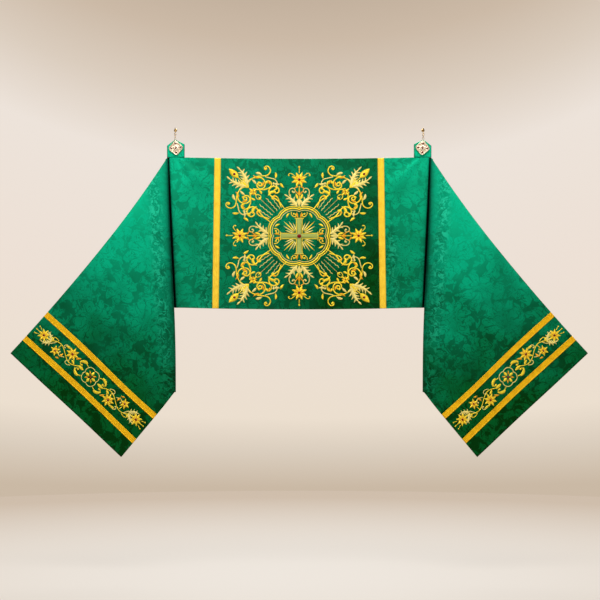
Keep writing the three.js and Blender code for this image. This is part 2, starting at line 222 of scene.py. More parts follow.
def wall(
    grid: Array,
    near: float | Array,
    far: float | Array,
    rim: float,
    marks: Array | None = None,
    back_marks: Array | None = None,
) -> Shell:
    """Makes a closed wall with a rounded rim from a grid of points.

    Args:
        grid: The wall's own surface, rows down and columns out.
        near: How far the back lies along the normals.
        far: How far the front lies along them, one number or one for each point.
        rim: How far the rim bulges past the edge.
        marks: Pattern coordinates for each point of the grid.
        back_marks: The same for the back, where they differ.

    Returns:
        The closed shell.
    """
    rows, columns = grid.shape[:2]
    normals = grid_normals(grid)
    near = np.broadcast_to(near, (rows, columns))[..., None]
    far = np.broadcast_to(far, (rows, columns))[..., None]
    marks = grid if marks is None else marks
    back_marks = marks if back_marks is None else back_marks
    front, back = grid + normals * far, grid + normals * near
    index = np.arange(rows * columns).reshape(rows, columns)
    ring = np.concatenate([index[0, :-1], index[:-1, -1], index[-1, :0:-1], index[:0:-1, 0]])
    j, i = np.divmod(ring, columns)
    inner = grid[np.clip(j, 1, rows - 2), np.clip(i, 1, columns - 2)]
    edge = (front[j, i] + back[j, i]) / 2 + unit(grid[j, i] - inner) * rim
    front_faces = cells(index)
    size = rows * columns
    following = np.roll(ring, -1)
    middle = 2 * size + np.arange(len(ring))
    next_middle = np.roll(middle, -1)
    faces = np.concatenate([
        front_faces,
        front_faces[:, ::-1] + size,
        np.stack([ring, following, next_middle, middle], axis=-1),
        np.stack([middle, next_middle, following + size, ring + size], axis=-1),
    ])
    points = np.concatenate([front.reshape(-1, 3), back.reshape(-1, 3), edge])
    # Painted shade on the rim and on the face's outermost points, for finishes that read the second pattern
    # coordinate as shade
    rim_marks = back_marks[j, i] + (0, RIM_SHADE, 0)
    marks = marks.copy()
    marks[j, i, 1] = np.maximum(marks[j, i, 1], RIM_SHADE)
    shell = Shell()
    shell.add(points, faces, np.concatenate([marks.reshape(-1, 3), back_marks.reshape(-1, 3), rim_marks]))
    return shell


def wire(path: Array, radius: float | Array, sides: int, flat_normal: Triple, closed: bool = False) -> Array:
    """Makes the grid of a round wire along a path that lies in one plane.

    Args:
        path: Points of the wire's middle line.
        radius: The wire's radius, one number or one for each point.
        sides: Points round the wire.
        flat_normal: The normal of the plane that the path lies in.
        closed: Whether the path's end meets its start.

    Returns:
        A grid with a ring of points for each point of the path.
    """
    if closed:
        steps = np.roll(path, -1, axis=0) - np.roll(path, 1, axis=0)
    else:
        steps = np.gradient(path, axis=0)
    normal = np.array(flat_normal, float)
    aside = unit(np.cross(unit(steps), normal))
    along, over = circle(sides).T[:, None, :, None]
    reach = np.broadcast_to(radius, len(path))[:, None, None]
    return path[:, None] + reach * (along * aside[:, None] + over * normal)


def capped(path: Array, radius: float) -> tuple[Array, Array]:
    """Rounds both ends of an open wire.

    Args:
        path: Points of the middle line.
        radius: The wire's radius.

    Returns:
        The path with more points at its ends, and the radius at each point.
    """
    first = unit(path[0] - path[1]) * radius
    last = unit(path[-1] - path[-2]) * radius
    head = [path[0] + first * s for s in (1.0, 0.9, 0.6)]
    tail = [path[-1] + last * s for s in (0.6, 0.9, 1.0)]
    radii = np.concatenate([(0.02, 0.44, 0.8), np.ones(len(path)), (0.8, 0.44, 0.02)]) * radius
    return np.concatenate([head, path, tail]), radii


def lathe(profile: Sequence[Pair], centre: Array, points: int) -> Array:
    """Turns a profile round the axis that points out of the wall.

    Args:
        profile: Radius and height above the centre for each ring, from the base to the top.
        centre: The middle of the base.
        points: Points in a ring.

    Returns:
        A grid of rings.
    """
    across, up = circle(points).T
    rings = [np.stack([r * across, np.full(points, -h), r * up], axis=-1) for r, h in profile]
    return np.array(rings) + centre


# The cloth

# The directions of the columns round a quarter turn of the cloth
BEND = np.radians((0, 22.5, 45, 67.5, 90))


@dataclass(frozen=True)
class Line:
    """A line across the strip, from the cloth's top edge to its bottom edge, as out and down."""

    top: Pair
    bottom: Pair

    def at(self, v: Array) -> tuple[Array, Array]:
        """Out and down at shares v of the line."""
        return lerp(self.top[0], self.bottom[0], v), lerp(self.top[1], self.bottom[1], v)


@dataclass(frozen=True)
class Layer:
    """How far a layer of the pleat stands off the wall, at its top and at its bottom."""

    top: float
    bottom: float

    def at(self, v: Array) -> Array:
        """The distance off the wall at shares v of its height."""
        return lerp(self.top, self.bottom, v)


@dataclass(frozen=True)
class Drape:
    """A soft fold or crease that radiates from the clasp."""

    angle: float
    spread: float
    height: float

    def at(self, angle: Array) -> Array:
        """Its lift in other directions, in degrees from straight down."""
        return self.height * np.exp(-0.5 * ((angle - self.angle) / self.spread) ** 2)


def hem_rows(rows: int) -> Array:
    """Shares from the top edge to the bottom edge, with a row close beside each edge for a narrow hem."""
    return np.concatenate([(0, 0.001), np.linspace(0, 1, rows - 2)[1:-1], (0.999, 1)])


@dataclass(frozen=True)
class ClothForm:
    """The surface of the strip, from the middle of the veil round the pleat to the end of the wing."""

    width: float = 549.0
    seam: Line = Line((297, 0), (305, 549))
    centre_fold: Line = Line((474, 0), (447, 547))
    hidden_fold: Line = Line((485, 4), (689, 542))
    wing_fold: Line = Line((479, 0), (450, 854))
    end_edge: Line = Line((1050, 713), (646, 1089))
    wing_fold_bow: float = -2.2
    wing_fold_swing: float = 3.2
    centre_layer: Layer = Layer(17, 28)
    back_layer: Layer = Layer(9, 8)
    middle_layer: Layer = Layer(13, 18)
    wing_layer: Layer = Layer(17, 38)
    wing_end_layer: Layer = Layer(30, 42)
    centre_bottom_off: float = 15.0
    fold_radius: float = 3.0
    roll_width: float = 34.0
    roll_depth: Layer = Layer(4.5, 12.0)
    roll_lift: Layer = Layer(3.2, 0.0)
    edge_bow: float = 38.0
    edge_bow_at: float = 0.42
    top_sag: float = 4.5
    bottom_sag: float = 6.0
    sag_reach: float = 418.0
    wave_length: float = 236.0
    wave_height: float = 2.5
    drapes: tuple[Drape, ...] = (Drape(9, 4.5, 7), Drape(19, 4.5, -4), Drape(30, 5, 6))
    drape_reach: float = 900.0
    settle_share: float = 3 / 11
    # How far from the end edge the upper braid's top lies, and where the mesh stops
    braid_top: float = 202.0
    end_gap: float = 0.5
    # Columns of points on the flat, round a whole fold, on the wing and near its end, and faces across each
    # hidden layer
    flat_columns: int = 34
    turn_columns: int = 10
    wing_columns: int = 118
    end_columns: int = 38
    layer_faces: int = 22
    # How much closer the wing's columns stand near its fold, as a power
    wing_crowding: float = 1.6
    # How far the pleat's painted shade reaches over the wing and the flat, and the depths between which it
    # fades
    wing_shade: float = 17.0
    flat_shade: Layer = Layer(4.0, 11.0)
    shade_depth: Pair = (480.0, 610.0)
    # How strong it is on the wing above and below those depths, on the flat, and on the columns where the
    # flat turns in
    wing_strength: Pair = (0.8, 0.25)
    flat_strength: float = 0.55
    turn_strength: tuple[float, ...] = (0.7, 0.85, 0.95)
    # The depths between which the middle layer comes out under the layer behind it, where its painted shade
    # fades out
    middle_depth: Pair = (525.0, 585.0)
    creases: tuple[Drape, ...] = (
        Drape(12, 3, 1.3), Drape(27, 3.5, -1), Drape(44, 5, 1.1), Drape(63, 6, -0.9),
    )
    crease_from: Pair = (452.0, -8.0)
    crease_start: float = 30.0
    crease_reach: float = 190.0

    def crease(self, out: Array, down: Array) -> Array:
        """The small creases that the clasp pulls into the flat of the side panel.

        Args:
            out: How far out from the middle.
            down: How far down from the top edge.

        Returns:
            How far the cloth lifts.
        """
        across, below = self.crease_from[0] - np.abs(out), down - self.crease_from[1]
        angle = np.degrees(np.arctan2(across, below))
        reach = np.hypot(across, below)
        fade = np.minimum(1.0, reach / self.crease_start) * np.exp(-((reach / self.crease_reach) ** 2))
        return fade * sum(crease.at(angle) for crease in self.creases)

    def centre(self, out: Array, v: Array) -> Array:
        """The cloth between the two centre folds.

        Args:
            out: How far out from the middle, negative on the left.
            v: 0 at the top edge and 1 at the bottom edge.

        Returns:
            Points of the frame.
        """
        fold_out, fold_down = self.centre_fold.at(v)
        across = np.minimum(1.0, np.abs(out) / fold_out)
        sag = lerp(self.top_sag, self.bottom_sag, v) * np.maximum(0, 1 - (out / self.sag_reach) ** 2)
        bottom_off = lerp(self.centre_bottom_off, self.centre_layer.bottom, across**2)
        wave = self.wave_height * v * (1 - across**4) * np.cos(2 * math.pi * out / self.wave_length)
        down = fold_down + sag
        off = lerp(self.centre_layer.top, bottom_off, v) + wave
        return place(out, down, off + self.crease(out, down) * (1 - across**12))

    def outer_edge(self, t: Array) -> Array:
        """The slanting outer edge of the wing.

        Args:
            t: 0 at the clasp and 1 at the corner.

        Returns:
            Out and down.
        """
        start, end = np.array(self.wing_fold.top), np.array(self.end_edge.top)
        inwards = unit(np.array([start[1] - end[1], end[0] - start[0]]))
        bow = np.where(t < self.edge_bow_at, t / self.edge_bow_at, (1 - t) / (1 - self.edge_bow_at))
        amount = self.edge_bow / 2 * (1 - (1 - bow) ** 2)
        return lerp(start, end, t[..., None]) + amount[..., None] * inwards

    def inner_edge(self, t: Array) -> Array:
        """The short lower inner edge of the wing, out and down, at shares t."""
        return lerp(np.array(self.wing_fold.bottom), np.array(self.end_edge.bottom), t[..., None])

    @property
    def pleat_columns(self) -> tuple[int, int, int, int]:
        """The side panel's columns where the pleat, its middle layer, the wing fold and the wing start."""
        half_turn = self.turn_columns // 2
        shaded = self.flat_columns + len(BEND) + 1
        middle = self.flat_columns + 2 * len(BEND) - 1 + self.layer_faces - 1 + half_turn
        wing_fold = middle + half_turn + self.layer_faces
        return shaded, middle, wing_fold, wing_fold + self.turn_columns - 1

    @property
    def outer_length(self) -> float:
        """The straight length of the wing's outer edge."""
        return math.dist(self.wing_fold.top, self.end_edge.top)

    @property
    def inner_length(self) -> float:
        """The straight length of the wing's inner edge."""
        return math.dist(self.wing_fold.bottom, self.end_edge.bottom)

    def lift(self, out: Array, down: Array) -> Array:
        """How far the radiating folds lift the wing.

        Args:
            out: How far out from the middle.
            down: How far down from the top edge.

        Returns:
            The lift off the wall.
        """
        across = out - self.wing_fold.top[0]
        angle = np.degrees(np.arctan2(across, down))
        reach = np.hypot(across, down) / self.drape_reach
        return reach * sum(drape.at(angle) for drape in self.drapes)

    @property
    def wing_reach(self) -> float:
        """The share of the wing's length that ends at the top of the upper braid."""
        return 1 - self.braid_top / ((self.outer_length + self.inner_length) / 2)

    def wing(self, outer: Array, inner: Array, v: Array, along: Array, settle: float | Array) -> Array:
        """Points of the wing on the lines that join its two edges.

        Args:
            outer: Shares of the outer edge.
            inner: Shares of the inner edge.
            v: 0 at the outer edge and 1 at the inner edge.
            along: 0 at the wing fold and 1 at the end edge.
            settle: How much of the drape there is, from 0 to 1.

        Returns:
            Points of the frame.
        """
        flat = lerp(self.outer_edge(outer), self.inner_edge(inner), v[..., None])
        out, down = flat[..., 0], flat[..., 1]
        off = lerp(self.wing_layer.at(v), self.wing_end_layer.at(v), along)
        return place(out, down, off + settle * self.lift(out, down))

    def wing_end(self, distance: Array, v: Array) -> Array:
        """Points near the end of the wing.

        Args:
            distance: How far from the end edge, up to the top of the upper braid.
            v: 0 at the outer corner and 1 at the inner corner.

        Returns:
            Points of the frame.
        """
        distance, v = np.broadcast_arrays(distance, v)
        along = lerp(self.wing_reach, 1.0, 1 - distance / self.braid_top)
        outer, inner = (1 - distance / length for length in (self.outer_length, self.inner_length))
        return self.wing(outer, inner, v, along, 1.0)

    def half_turn(self, out: Array, down: Array, start: Array, end: Array, opens: int) -> list[Array]:
        """A fold where the cloth turns back on itself.

        Args:
            out: Where the fold lies.
            down: How far down it is.
            start: The first layer's distance off the wall.
            end: The next layer's.
            opens: 1 where the fold opens towards the middle of the veil, and -1 where it opens away.

        Returns:
            A list of columns of points.
        """
        radius = np.abs(end - start) / 2
        columns = []
        for angle in np.linspace(0, math.pi, self.turn_columns):
            off = lerp(start, end, (1 - math.cos(angle)) / 2)
            columns.append(place(out - opens * radius * (1 - math.sin(angle)), down, off))
        return columns

    def run(self, start: Array, end: Array) -> list[Array]:
        """The columns of a hidden layer, evenly spaced between two given ones, without those two."""
        return [lerp(start, end, i / self.layer_faces) for i in range(1, self.layer_faces)]

    def side_panel(self, rows: int) -> Array:
        """The grid of a side panel, from the seam round the pleat to the end edge.

        Args:
            rows: Rows of points from the top edge to the bottom edge.

        Returns:
            Points of the frame, rows down and columns out.
        """
        v = hem_rows(rows)
        seam = self.seam.at(v)[0]
        fold, fold_down = self.centre_fold.at(v)
        radius = self.fold_radius
        flat = np.linspace(0, 1, self.flat_columns)
        columns = [self.centre(lerp(seam + SEAM_GAP, fold - radius, t), v) for t in flat]
        front, back = self.centre_layer.at(v), self.back_layer.at(v)
        for angle in BEND[1:]:
            inwards, sunk = radius * (1 - math.sin(angle)), radius * (1 - math.cos(angle))
            columns.append(place(fold - inwards, fold_down, front - sunk))
        for angle in BEND:
            outwards, raised = radius * (1 - math.cos(angle)), radius * (1 - math.sin(angle))
            columns.append(place(fold + outwards, fold_down, back + raised))

        hidden, hidden_down = self.hidden_fold.at(v)
        roll = self.roll_depth.at(v)
        middle, front = self.middle_layer.at(v), self.wing_layer.at(v) + self.roll_lift.at(v) - roll
        wing_fold, wing_down = self.wing_fold.at(v)
        wing_fold = wing_fold + self.wing_fold_bow * np.sin(math.pi * v)
        wing_fold = wing_fold + self.wing_fold_swing * np.sin(2 * math.pi * v)
        hidden_radius, wing_radius = (middle - back) / 2, (front - middle) / 2
        columns += self.run(columns[-1], place(hidden - hidden_radius, hidden_down, back))
        columns += self.half_turn(hidden, hidden_down, back, middle, 1)
        columns += self.run(columns[-1], place(wing_fold + wing_radius, wing_down, middle))
        columns += self.half_turn(wing_fold, wing_down, middle, front, -1)

        start = columns[-1]
        zero = np.zeros_like(v)
        shift = (start - self.wing(zero, zero, v, zero, zero))[:, 0]
        for t in np.linspace(0, 1, self.wing_columns)[1:-1] ** self.wing_crowding:
            outer = np.full_like(v, t * (1 - self.braid_top / self.outer_length))
            inner = np.full_like(v, t * (1 - self.braid_top / self.inner_length))
            column = self.wing(outer, inner, v, t * self.wing_reach, min(1.0, t / self.settle_share))
            column[:, 0] += (1 - t) ** 2 * shift
            near = np.maximum(0, 1 - (column[:, 0] - start[:, 0]) / self.roll_width)
            column[:, 1] += roll * (1 - np.sqrt(1 - near**2)) - (1 - t) * self.roll_lift.at(v)
            columns.append(column)
        near_end = np.linspace(self.braid_top, self.end_gap, self.end_columns)
        columns += [self.wing_end(distance, v) for distance in near_end]
        return np.stack(columns, axis=1)

    def pleat_shade(self, grid: Array) -> Array:
        """The painted shade on each point of a side panel's face: black between the pleat's layers, fading
        over the flat and the wing's roll beside the folds.

        Args:
            grid: The side panel's grid.

        Returns:
            0 in the open and 1 between the layers, for each point of the grid.
        """
        start, middle, fold, end = self.pleat_columns
        turn = start - len(self.turn_strength)
        v = hem_rows(len(grid))[:, None]
        shade = np.zeros(grid.shape[:2])
        # Painted shade on the flat beside the centre fold, and on the columns where it turns in
        inwards = grid[:, turn : turn + 1, 0] - grid[:, :turn, 0]
        shade[:, :turn] = self.flat_strength * np.exp(-inwards / self.flat_shade.at(v))
        shade[:, turn:start] = self.turn_strength
        # Full painted shade on the hidden layers, which show black in the gap of the pleat
        shade[:, start:middle] = 1.0
        depth = -grid[..., 2] - CLOTH_TOP
        # Painted shade on the middle layer, fading where it comes out from under the back layer
        shade[:, middle:fold] = np.interp(depth[:, middle:fold], self.middle_depth, (1.0, 0.0))
        # Painted shade on the wing fold and over the wing's roll, weaker lower down
        strength = np.interp(depth, self.shade_depth, self.wing_strength)
        outwards = np.maximum(0, grid[:, end:, 0] - grid[:, end - 1 : end, 0])
        shade[:, fold:end] = strength[:, fold:end]
        shade[:, end:] = strength[:, end:] * np.exp(-outwards / self.wing_shade)
        return shade

    def centre_panel(self, rows: int, columns: int) -> Array:
        """The grid of the centre panel between the two seams.

        Args:
            rows: Rows of points from edge to edge.
            columns: Columns from seam to seam.

        Returns:
            Points of the frame, rows down and columns out.
        """
        v = hem_rows(rows)
        seam = self.seam.at(v)[0] - SEAM_GAP
        return np.stack([self.centre(seam * s, v) for s in np.linspace(-1, 1, columns)], axis=1)


# Finishes

BLEND = {"data_type": "RGBA"}
CLAMPED_PRODUCT = {"operation": "MULTIPLY", "use_clamp": True}


def add_node(tree: bpy.types.NodeTree, kind: str, settings: dict, inputs: dict) -> bpy.types.Node:
    """Adds a node with its settings and links.

    Args:
        tree: The material's node tree.
        kind: The node's type without its prefix.
        settings: Values for the node's own properties.
        inputs: A number, a colour or another node's output for each input, by name or number.

    Returns:
        The node.
    """
    node = tree.nodes.new("ShaderNode" + kind)
    for name, value in settings.items():
        setattr(node, name, value)
    for key, value in inputs.items():
        if isinstance(value, bpy.types.NodeSocket):
            tree.links.new(value, node.inputs[key])
        else:
            node.inputs[key].default_value = value
    return node


def follow_recipe(tree: bpy.types.NodeTree, recipe: Iterable[tuple]) -> dict[str, bpy.types.Node]:
    """Adds the nodes of a recipe in order.

    Args:
        tree: The node tree.
        recipe: Rows of name, kind, settings and inputs. Settings may be the name of an operation. Inputs
            are in order, or by name, and each is a value, a hex colour, or the name of an earlier row
            with a full stop and the output's name, where the first output isn't meant.

    Returns:
        The nodes by name.
    """
    nodes: dict[str, bpy.types.Node] = {}
    for name, kind, settings, inputs in recipe:
        given = inputs if isinstance(inputs, dict) else dict(enumerate(inputs))
        filled = {}
        for key, value in given.items():
            if isinstance(value, str) and value.startswith("#"):
                value = linear(value)
            elif isinstance(value, str):
                source, _, output = value.partition(".")
                sockets = nodes[source].outputs
                value = next(socket for socket in sockets if output in ("", socket.identifier, socket.name))
            filled[key] = value
        chosen = {"operation": settings} if isinstance(settings, str) else settings
        nodes[name] = add_node(tree, kind, chosen, filled)
    return nodes


def new_material(name: str, recipe: Iterable[tuple]) -> bpy.types.Material:
    """Makes a material from a recipe whose last row is the surface shader.

    Args:
        name: The material's name.
        recipe: Its rows, as for follow_recipe.

    Returns:
        The material.
    """
    material = bpy.data.materials.new(name)
    material.use_nodes = True
    tree = material.node_tree
    tree.nodes.clear()
    nodes = follow_recipe(tree, recipe)
    add_node(tree, "OutputMaterial", {}, {"Surface": list(nodes.values())[-1].outputs[0]})
    return material


@dataclass(frozen=True)
class SilkDamask:
    """Silk damask, woven in one colour.

    The figure is in satin weave and the ground in a duller one, so the peonies show by their gloss: light
    where the cloth faces the lamp, and nearly lost elsewhere. Over this, the tones have painted light near
    the top edge and painted shade lower down.
    """

    name: str = "silk_damask"
    # Tones of the satin figure and of the ground, with painted light near the top edge and painted shade at
    # the ends
    figure: tuple[str, str] = ("#06BE8E", "#026228")
    ground: tuple[str, str] = ("#06AC7E", "#01390A")
    # The ground's painted shade deepens sooner than the figure's, so the figure is plainest on the lower
    # half
    sooner: float = 0.5
    metallic: float = 0.55
    figure_roughness: float = 0.40
    ground_roughness: float = 0.50
    # The depths between which the painted light gives way to painted shade
    depth: Pair = (150.0, 950.0)
    # How much deeper the painted shade is to the right, in millimetres of depth for each millimetre
    lean: float = 0.0
    # The painted light falls another way on the flat inside the pleat, where the painted shade starts deeper
    # and
    # changes less: how deep it starts, its change for each millimetre down and inwards, and how far out the
    # flat ends
    nap: tuple[float, float, float, float] = (285.0, 0.40, 0.9, 474.0)
    # How much deeper the painted shade of the wing is for each millimetre outwards, and its start
    wing_lean: Pair = (0.3, -216.0)
    # The half-drop repeat of the peonies, and their size
    repeat: Pair = (186.0, 240.0)
    peony: float = 78.0
    # Leaves between the flowers, and how far the weaver's drawing strays from a true circle
    leaf: float = 34.0
    stray: float = 30.0
    # The size of the broad, soft changes in the painted light and shade, and how much depth of tone they are
    # worth
    broad: float = 70.0
    drift: float = 110.0
    # The lacy stripe beside the wing fold, a lace figure with a painted highlight: how far out it starts,
    # its lean, its half width and its holes
    stripe: Triple = (538.0, -0.073, 34.0)
    lace: float = 15.0
    # The same stripe on the flat, beside the centre braid, and the depths between which it comes up
    flat_stripe: float = 336.0
    flat_stripe_depth: Pair = (180.0, 340.0)
    # How much the fold beside the flat leans inwards
    fold_lean: float = -0.034
    # The tones of the lace, with painted light near the top edge and painted shade at the ends, and how much
    # of them shows
    lace_tones: tuple[str, str] = ("#34D6AA", "#0A7E4E")
    stripe_light: float = 0.45
    # How much darker the ground is between the lace, and its tone there
    stripe_dark: float = 0.3
    hollow: str = "#003016"
    # The tone of the painted shade deep in the pleat, over the wing's roll and on the cut edges
    shade: str = "#000502"
    # The weave has 0.1 mm threads. It is drawn at 1.6 mm, because finer doesn't show.
    thread: float = 1.6

    def places(self) -> list[tuple]:
        """Where each point lies from the nearest peony, the nearest spray and the stripe.

        Returns:
            Rows of nodes.
        """
        across, down = self.repeat[0] / 2, self.repeat[1] / 2
        astray = (2 * self.stray, 0, 2 * self.stray)
        rows: list[tuple] = [
            ("place", "Attribute", {"attribute_name": PATTERN}, ()),
            ("level", "VectorMath", "MULTIPLY", ("place.Vector", (1, 0, 1))),
            ("broad", "VectorMath", "SCALE", {"Vector": "level", "Scale": 1 / self.broad}),
            ("sway", "TexNoise", {}, {"Vector": "broad", "Scale": 1.0, "Detail": 3.0, "Roughness": 0.6}),
            ("swing", "VectorMath", "SUBTRACT", ("sway.Color", (0.5, 0.5, 0.5))),
            ("shifted", "VectorMath", "MULTIPLY_ADD", ("swing", astray, "level")),
            ("xyz", "SeparateXYZ", {}, ("shifted",)),
            ("half_x", "Math", "ADD", ("xyz.X", across)),
            ("half_z", "Math", "ADD", ("xyz.Z", down)),
            ("true", "SeparateXYZ", {}, ("place.Vector",)),
            ("depth", "Math", "MULTIPLY_ADD", ("true.Z", -1.0, -CLOTH_TOP)),
            ("out", "Math", "ABSOLUTE", ("true.X",)),
            ("stripe_out", "Math", "MULTIPLY_ADD", ("depth", self.stripe[1], self.stripe[0])),
            ("flat_edge", "Math", "MULTIPLY_ADD", ("depth", self.fold_lean, self.nap[3])),
            ("stripe_x", "Math", "SUBTRACT", ("out", "stripe_out")),
            ("flat_stripe_x", "Math", "SUBTRACT", ("out", self.flat_stripe)),
        ]
        for flower, x, z in (("peony", "xyz.X", "xyz.Z"), ("spray", "half_x", "half_z")):
            rows += [
                (flower + "_x", "Math", "WRAP", (x, across, -across)),
                (flower + "_z", "Math", "WRAP", (z, down, -down)),
                (flower + "_fan", "Math", "ADD", (flower + "_z", -0.3 * self.peony)),
                (flower + "_at", "CombineXYZ", {}, (flower + "_x", flower + "_fan", 0.0)),
                (flower + "_far", "VectorMath", "LENGTH", (flower + "_at",)),
                (flower + "_turn", "Math", "ARCTAN2", (flower + "_fan", flower + "_x")),
            ]
        return rows

    def petals(self, name: str, flower: str, reach: float, count: int, share: float) -> list[tuple]:
        """One ring of long narrow petals with fine dark lines between them.

        Args:
            name: The ring's name.
            flower: The flower that it belongs to.
            reach: How far its petals reach.
            count: How many petals it has.
            share: How far out the lines between them start.

        Returns:
            Rows of nodes, of which the last gives 1 on the petals and 0 off them.
        """
        return [
            (name + "_phase", "Math", "MULTIPLY", (flower + "_turn", count / 2)),
            (name + "_wave", "Math", "COSINE", (name + "_phase",)),
            (name + "_size", "Math", "ABSOLUTE", (name + "_wave",)),
            (name + "_tip", "Math", "POWER", (name + "_size", 0.45)),
            (name + "_edge", "Math", "MULTIPLY_ADD", (name + "_tip", 0.5 * reach, 0.5 * reach)),
            (name + "_deep", "Math", "SUBTRACT", (name + "_edge", flower + "_far.Value")),
            (name + "_in", "Math", CLAMPED_PRODUCT, (name + "_deep", 0.35)),
            (name + "_line", "MapRange", {}, (name + "_size", 0.08, 0.30)),
            (name + "_past", "Math", "SUBTRACT", (share * reach, flower + "_far.Value")),
            (name + "_near", "Math", CLAMPED_PRODUCT, (name + "_past", 0.4)),
            (name + "_full", "Math", "MAXIMUM", (name + "_line", name + "_near")),
            (name, "Math", "MULTIPLY", (name + "_in", name + "_full")),
        ]

    def figure_rows(self) -> list[tuple]:
        """The damask's figure, from 0 on the ground to 1 in satin.

        Returns:
            Rows of nodes.
        """
        rows: list[tuple] = []
        for flower, outer, inner in (("peony", 10, 15), ("spray", 7, 11)):
            reach = self.peony if flower == "peony" else 0.8 * self.peony
            rows += self.petals(flower + "_outer", flower, reach, outer, 0.3)
            rows += self.petals(flower + "_inner", flower, 0.5 * reach, inner, 0.25)
            rows += [
                (flower + "_ring", "Math", "SUBTRACT", (flower + "_outer", flower + "_inner_in")),
                (flower + "_open", "Math", "MAXIMUM", (flower + "_ring", 0.0)),
                (flower + "_all", "Math", "MULTIPLY_ADD", (flower + "_inner", 0.75, flower + "_open")),
            ]
        start, end = self.flat_stripe_depth
        half_width = self.stripe[2]
        foliage = {"Vector": "leafy", "Scale": 1.0, "Detail": 5.0, "Roughness": 0.6, "Distortion": 1.2}
        lace = {"Vector": "lace_at", "Scale": 1.0, "Detail": 3.0, "Roughness": 0.7, "Distortion": 1.0}
        rows += [
            ("leafy", "VectorMath", "SCALE", {"Vector": "shifted", "Scale": 1 / self.leaf}),
            ("foliage", "TexNoise", {}, foliage),
            ("leaf", "MapRange", {}, ("foliage.Fac", 0.50, 0.53, 0.0, 0.85)),
            # Thin drawn lines that run through leaves and petals
            ("drawing", "TexNoise", {}, {"Vector": "leafy", "Scale": 1.7, "Detail": 2.0, "Distortion": 0.8}),
            ("from_line", "Math", "SUBTRACT", ("drawing.Fac", 0.5)),
            ("line_far", "Math", "ABSOLUTE", ("from_line",)),
            ("unlined", "MapRange", {}, ("line_far", 0.010, 0.030)),
            ("flowers", "Math", "MAXIMUM", ("peony_all", "spray_all")),
            ("room", "Math", "MAXIMUM", ("peony_outer_in", "spray_outer_in")),
            ("free", "Math", "SUBTRACT", (1.0, "room")),
            ("leaves", "Math", "MULTIPLY", ("leaf", "free")),
            ("grown", "Math", "MAXIMUM", ("flowers", "leaves")),
            ("garden", "Math", "MULTIPLY", ("grown", "unlined")),
            # The lacy stripes beside the wing fold and beside the centre braid
            ("wing_stripe_far", "Math", "ABSOLUTE", ("stripe_x",)),
            ("flat_stripe_aside", "Math", "ABSOLUTE", ("flat_stripe_x",)),
            ("flat_stripe_fade", "MapRange", {}, ("depth", end, start, 0.0, half_width)),
            ("flat_stripe_far", "Math", "ADD", ("flat_stripe_aside", "flat_stripe_fade")),
            ("stripe_far", "Math", "MINIMUM", ("wing_stripe_far", "flat_stripe_far")),
            ("stripe_in", "MapRange", {}, ("stripe_far", half_width, half_width / 3)),
            ("lace_at", "VectorMath", "SCALE", {"Vector": "shifted", "Scale": 1 / self.lace}),
            ("lace", "TexNoise", {}, lace),
            ("lacy", "MapRange", {}, ("lace.Fac", 0.50, 0.56)),
            ("stripe_figure", "Math", "MULTIPLY", ("lacy", "stripe_in")),
            # The figure fades in places, as the silk is pressed one way or the other
            ("press", "TexNoise", {}, {"Vector": "broad", "Scale": 0.42, "Detail": 2.0}),
            ("pressed", "MapRange", {}, ("press.Fac", 0.34, 0.50, 0.5)),
            ("shown_garden", "Math", "MULTIPLY", ("garden", "pressed")),
            ("shown", "Math", "MAXIMUM", ("shown_garden", "stripe_figure")),
        ]
        return rows

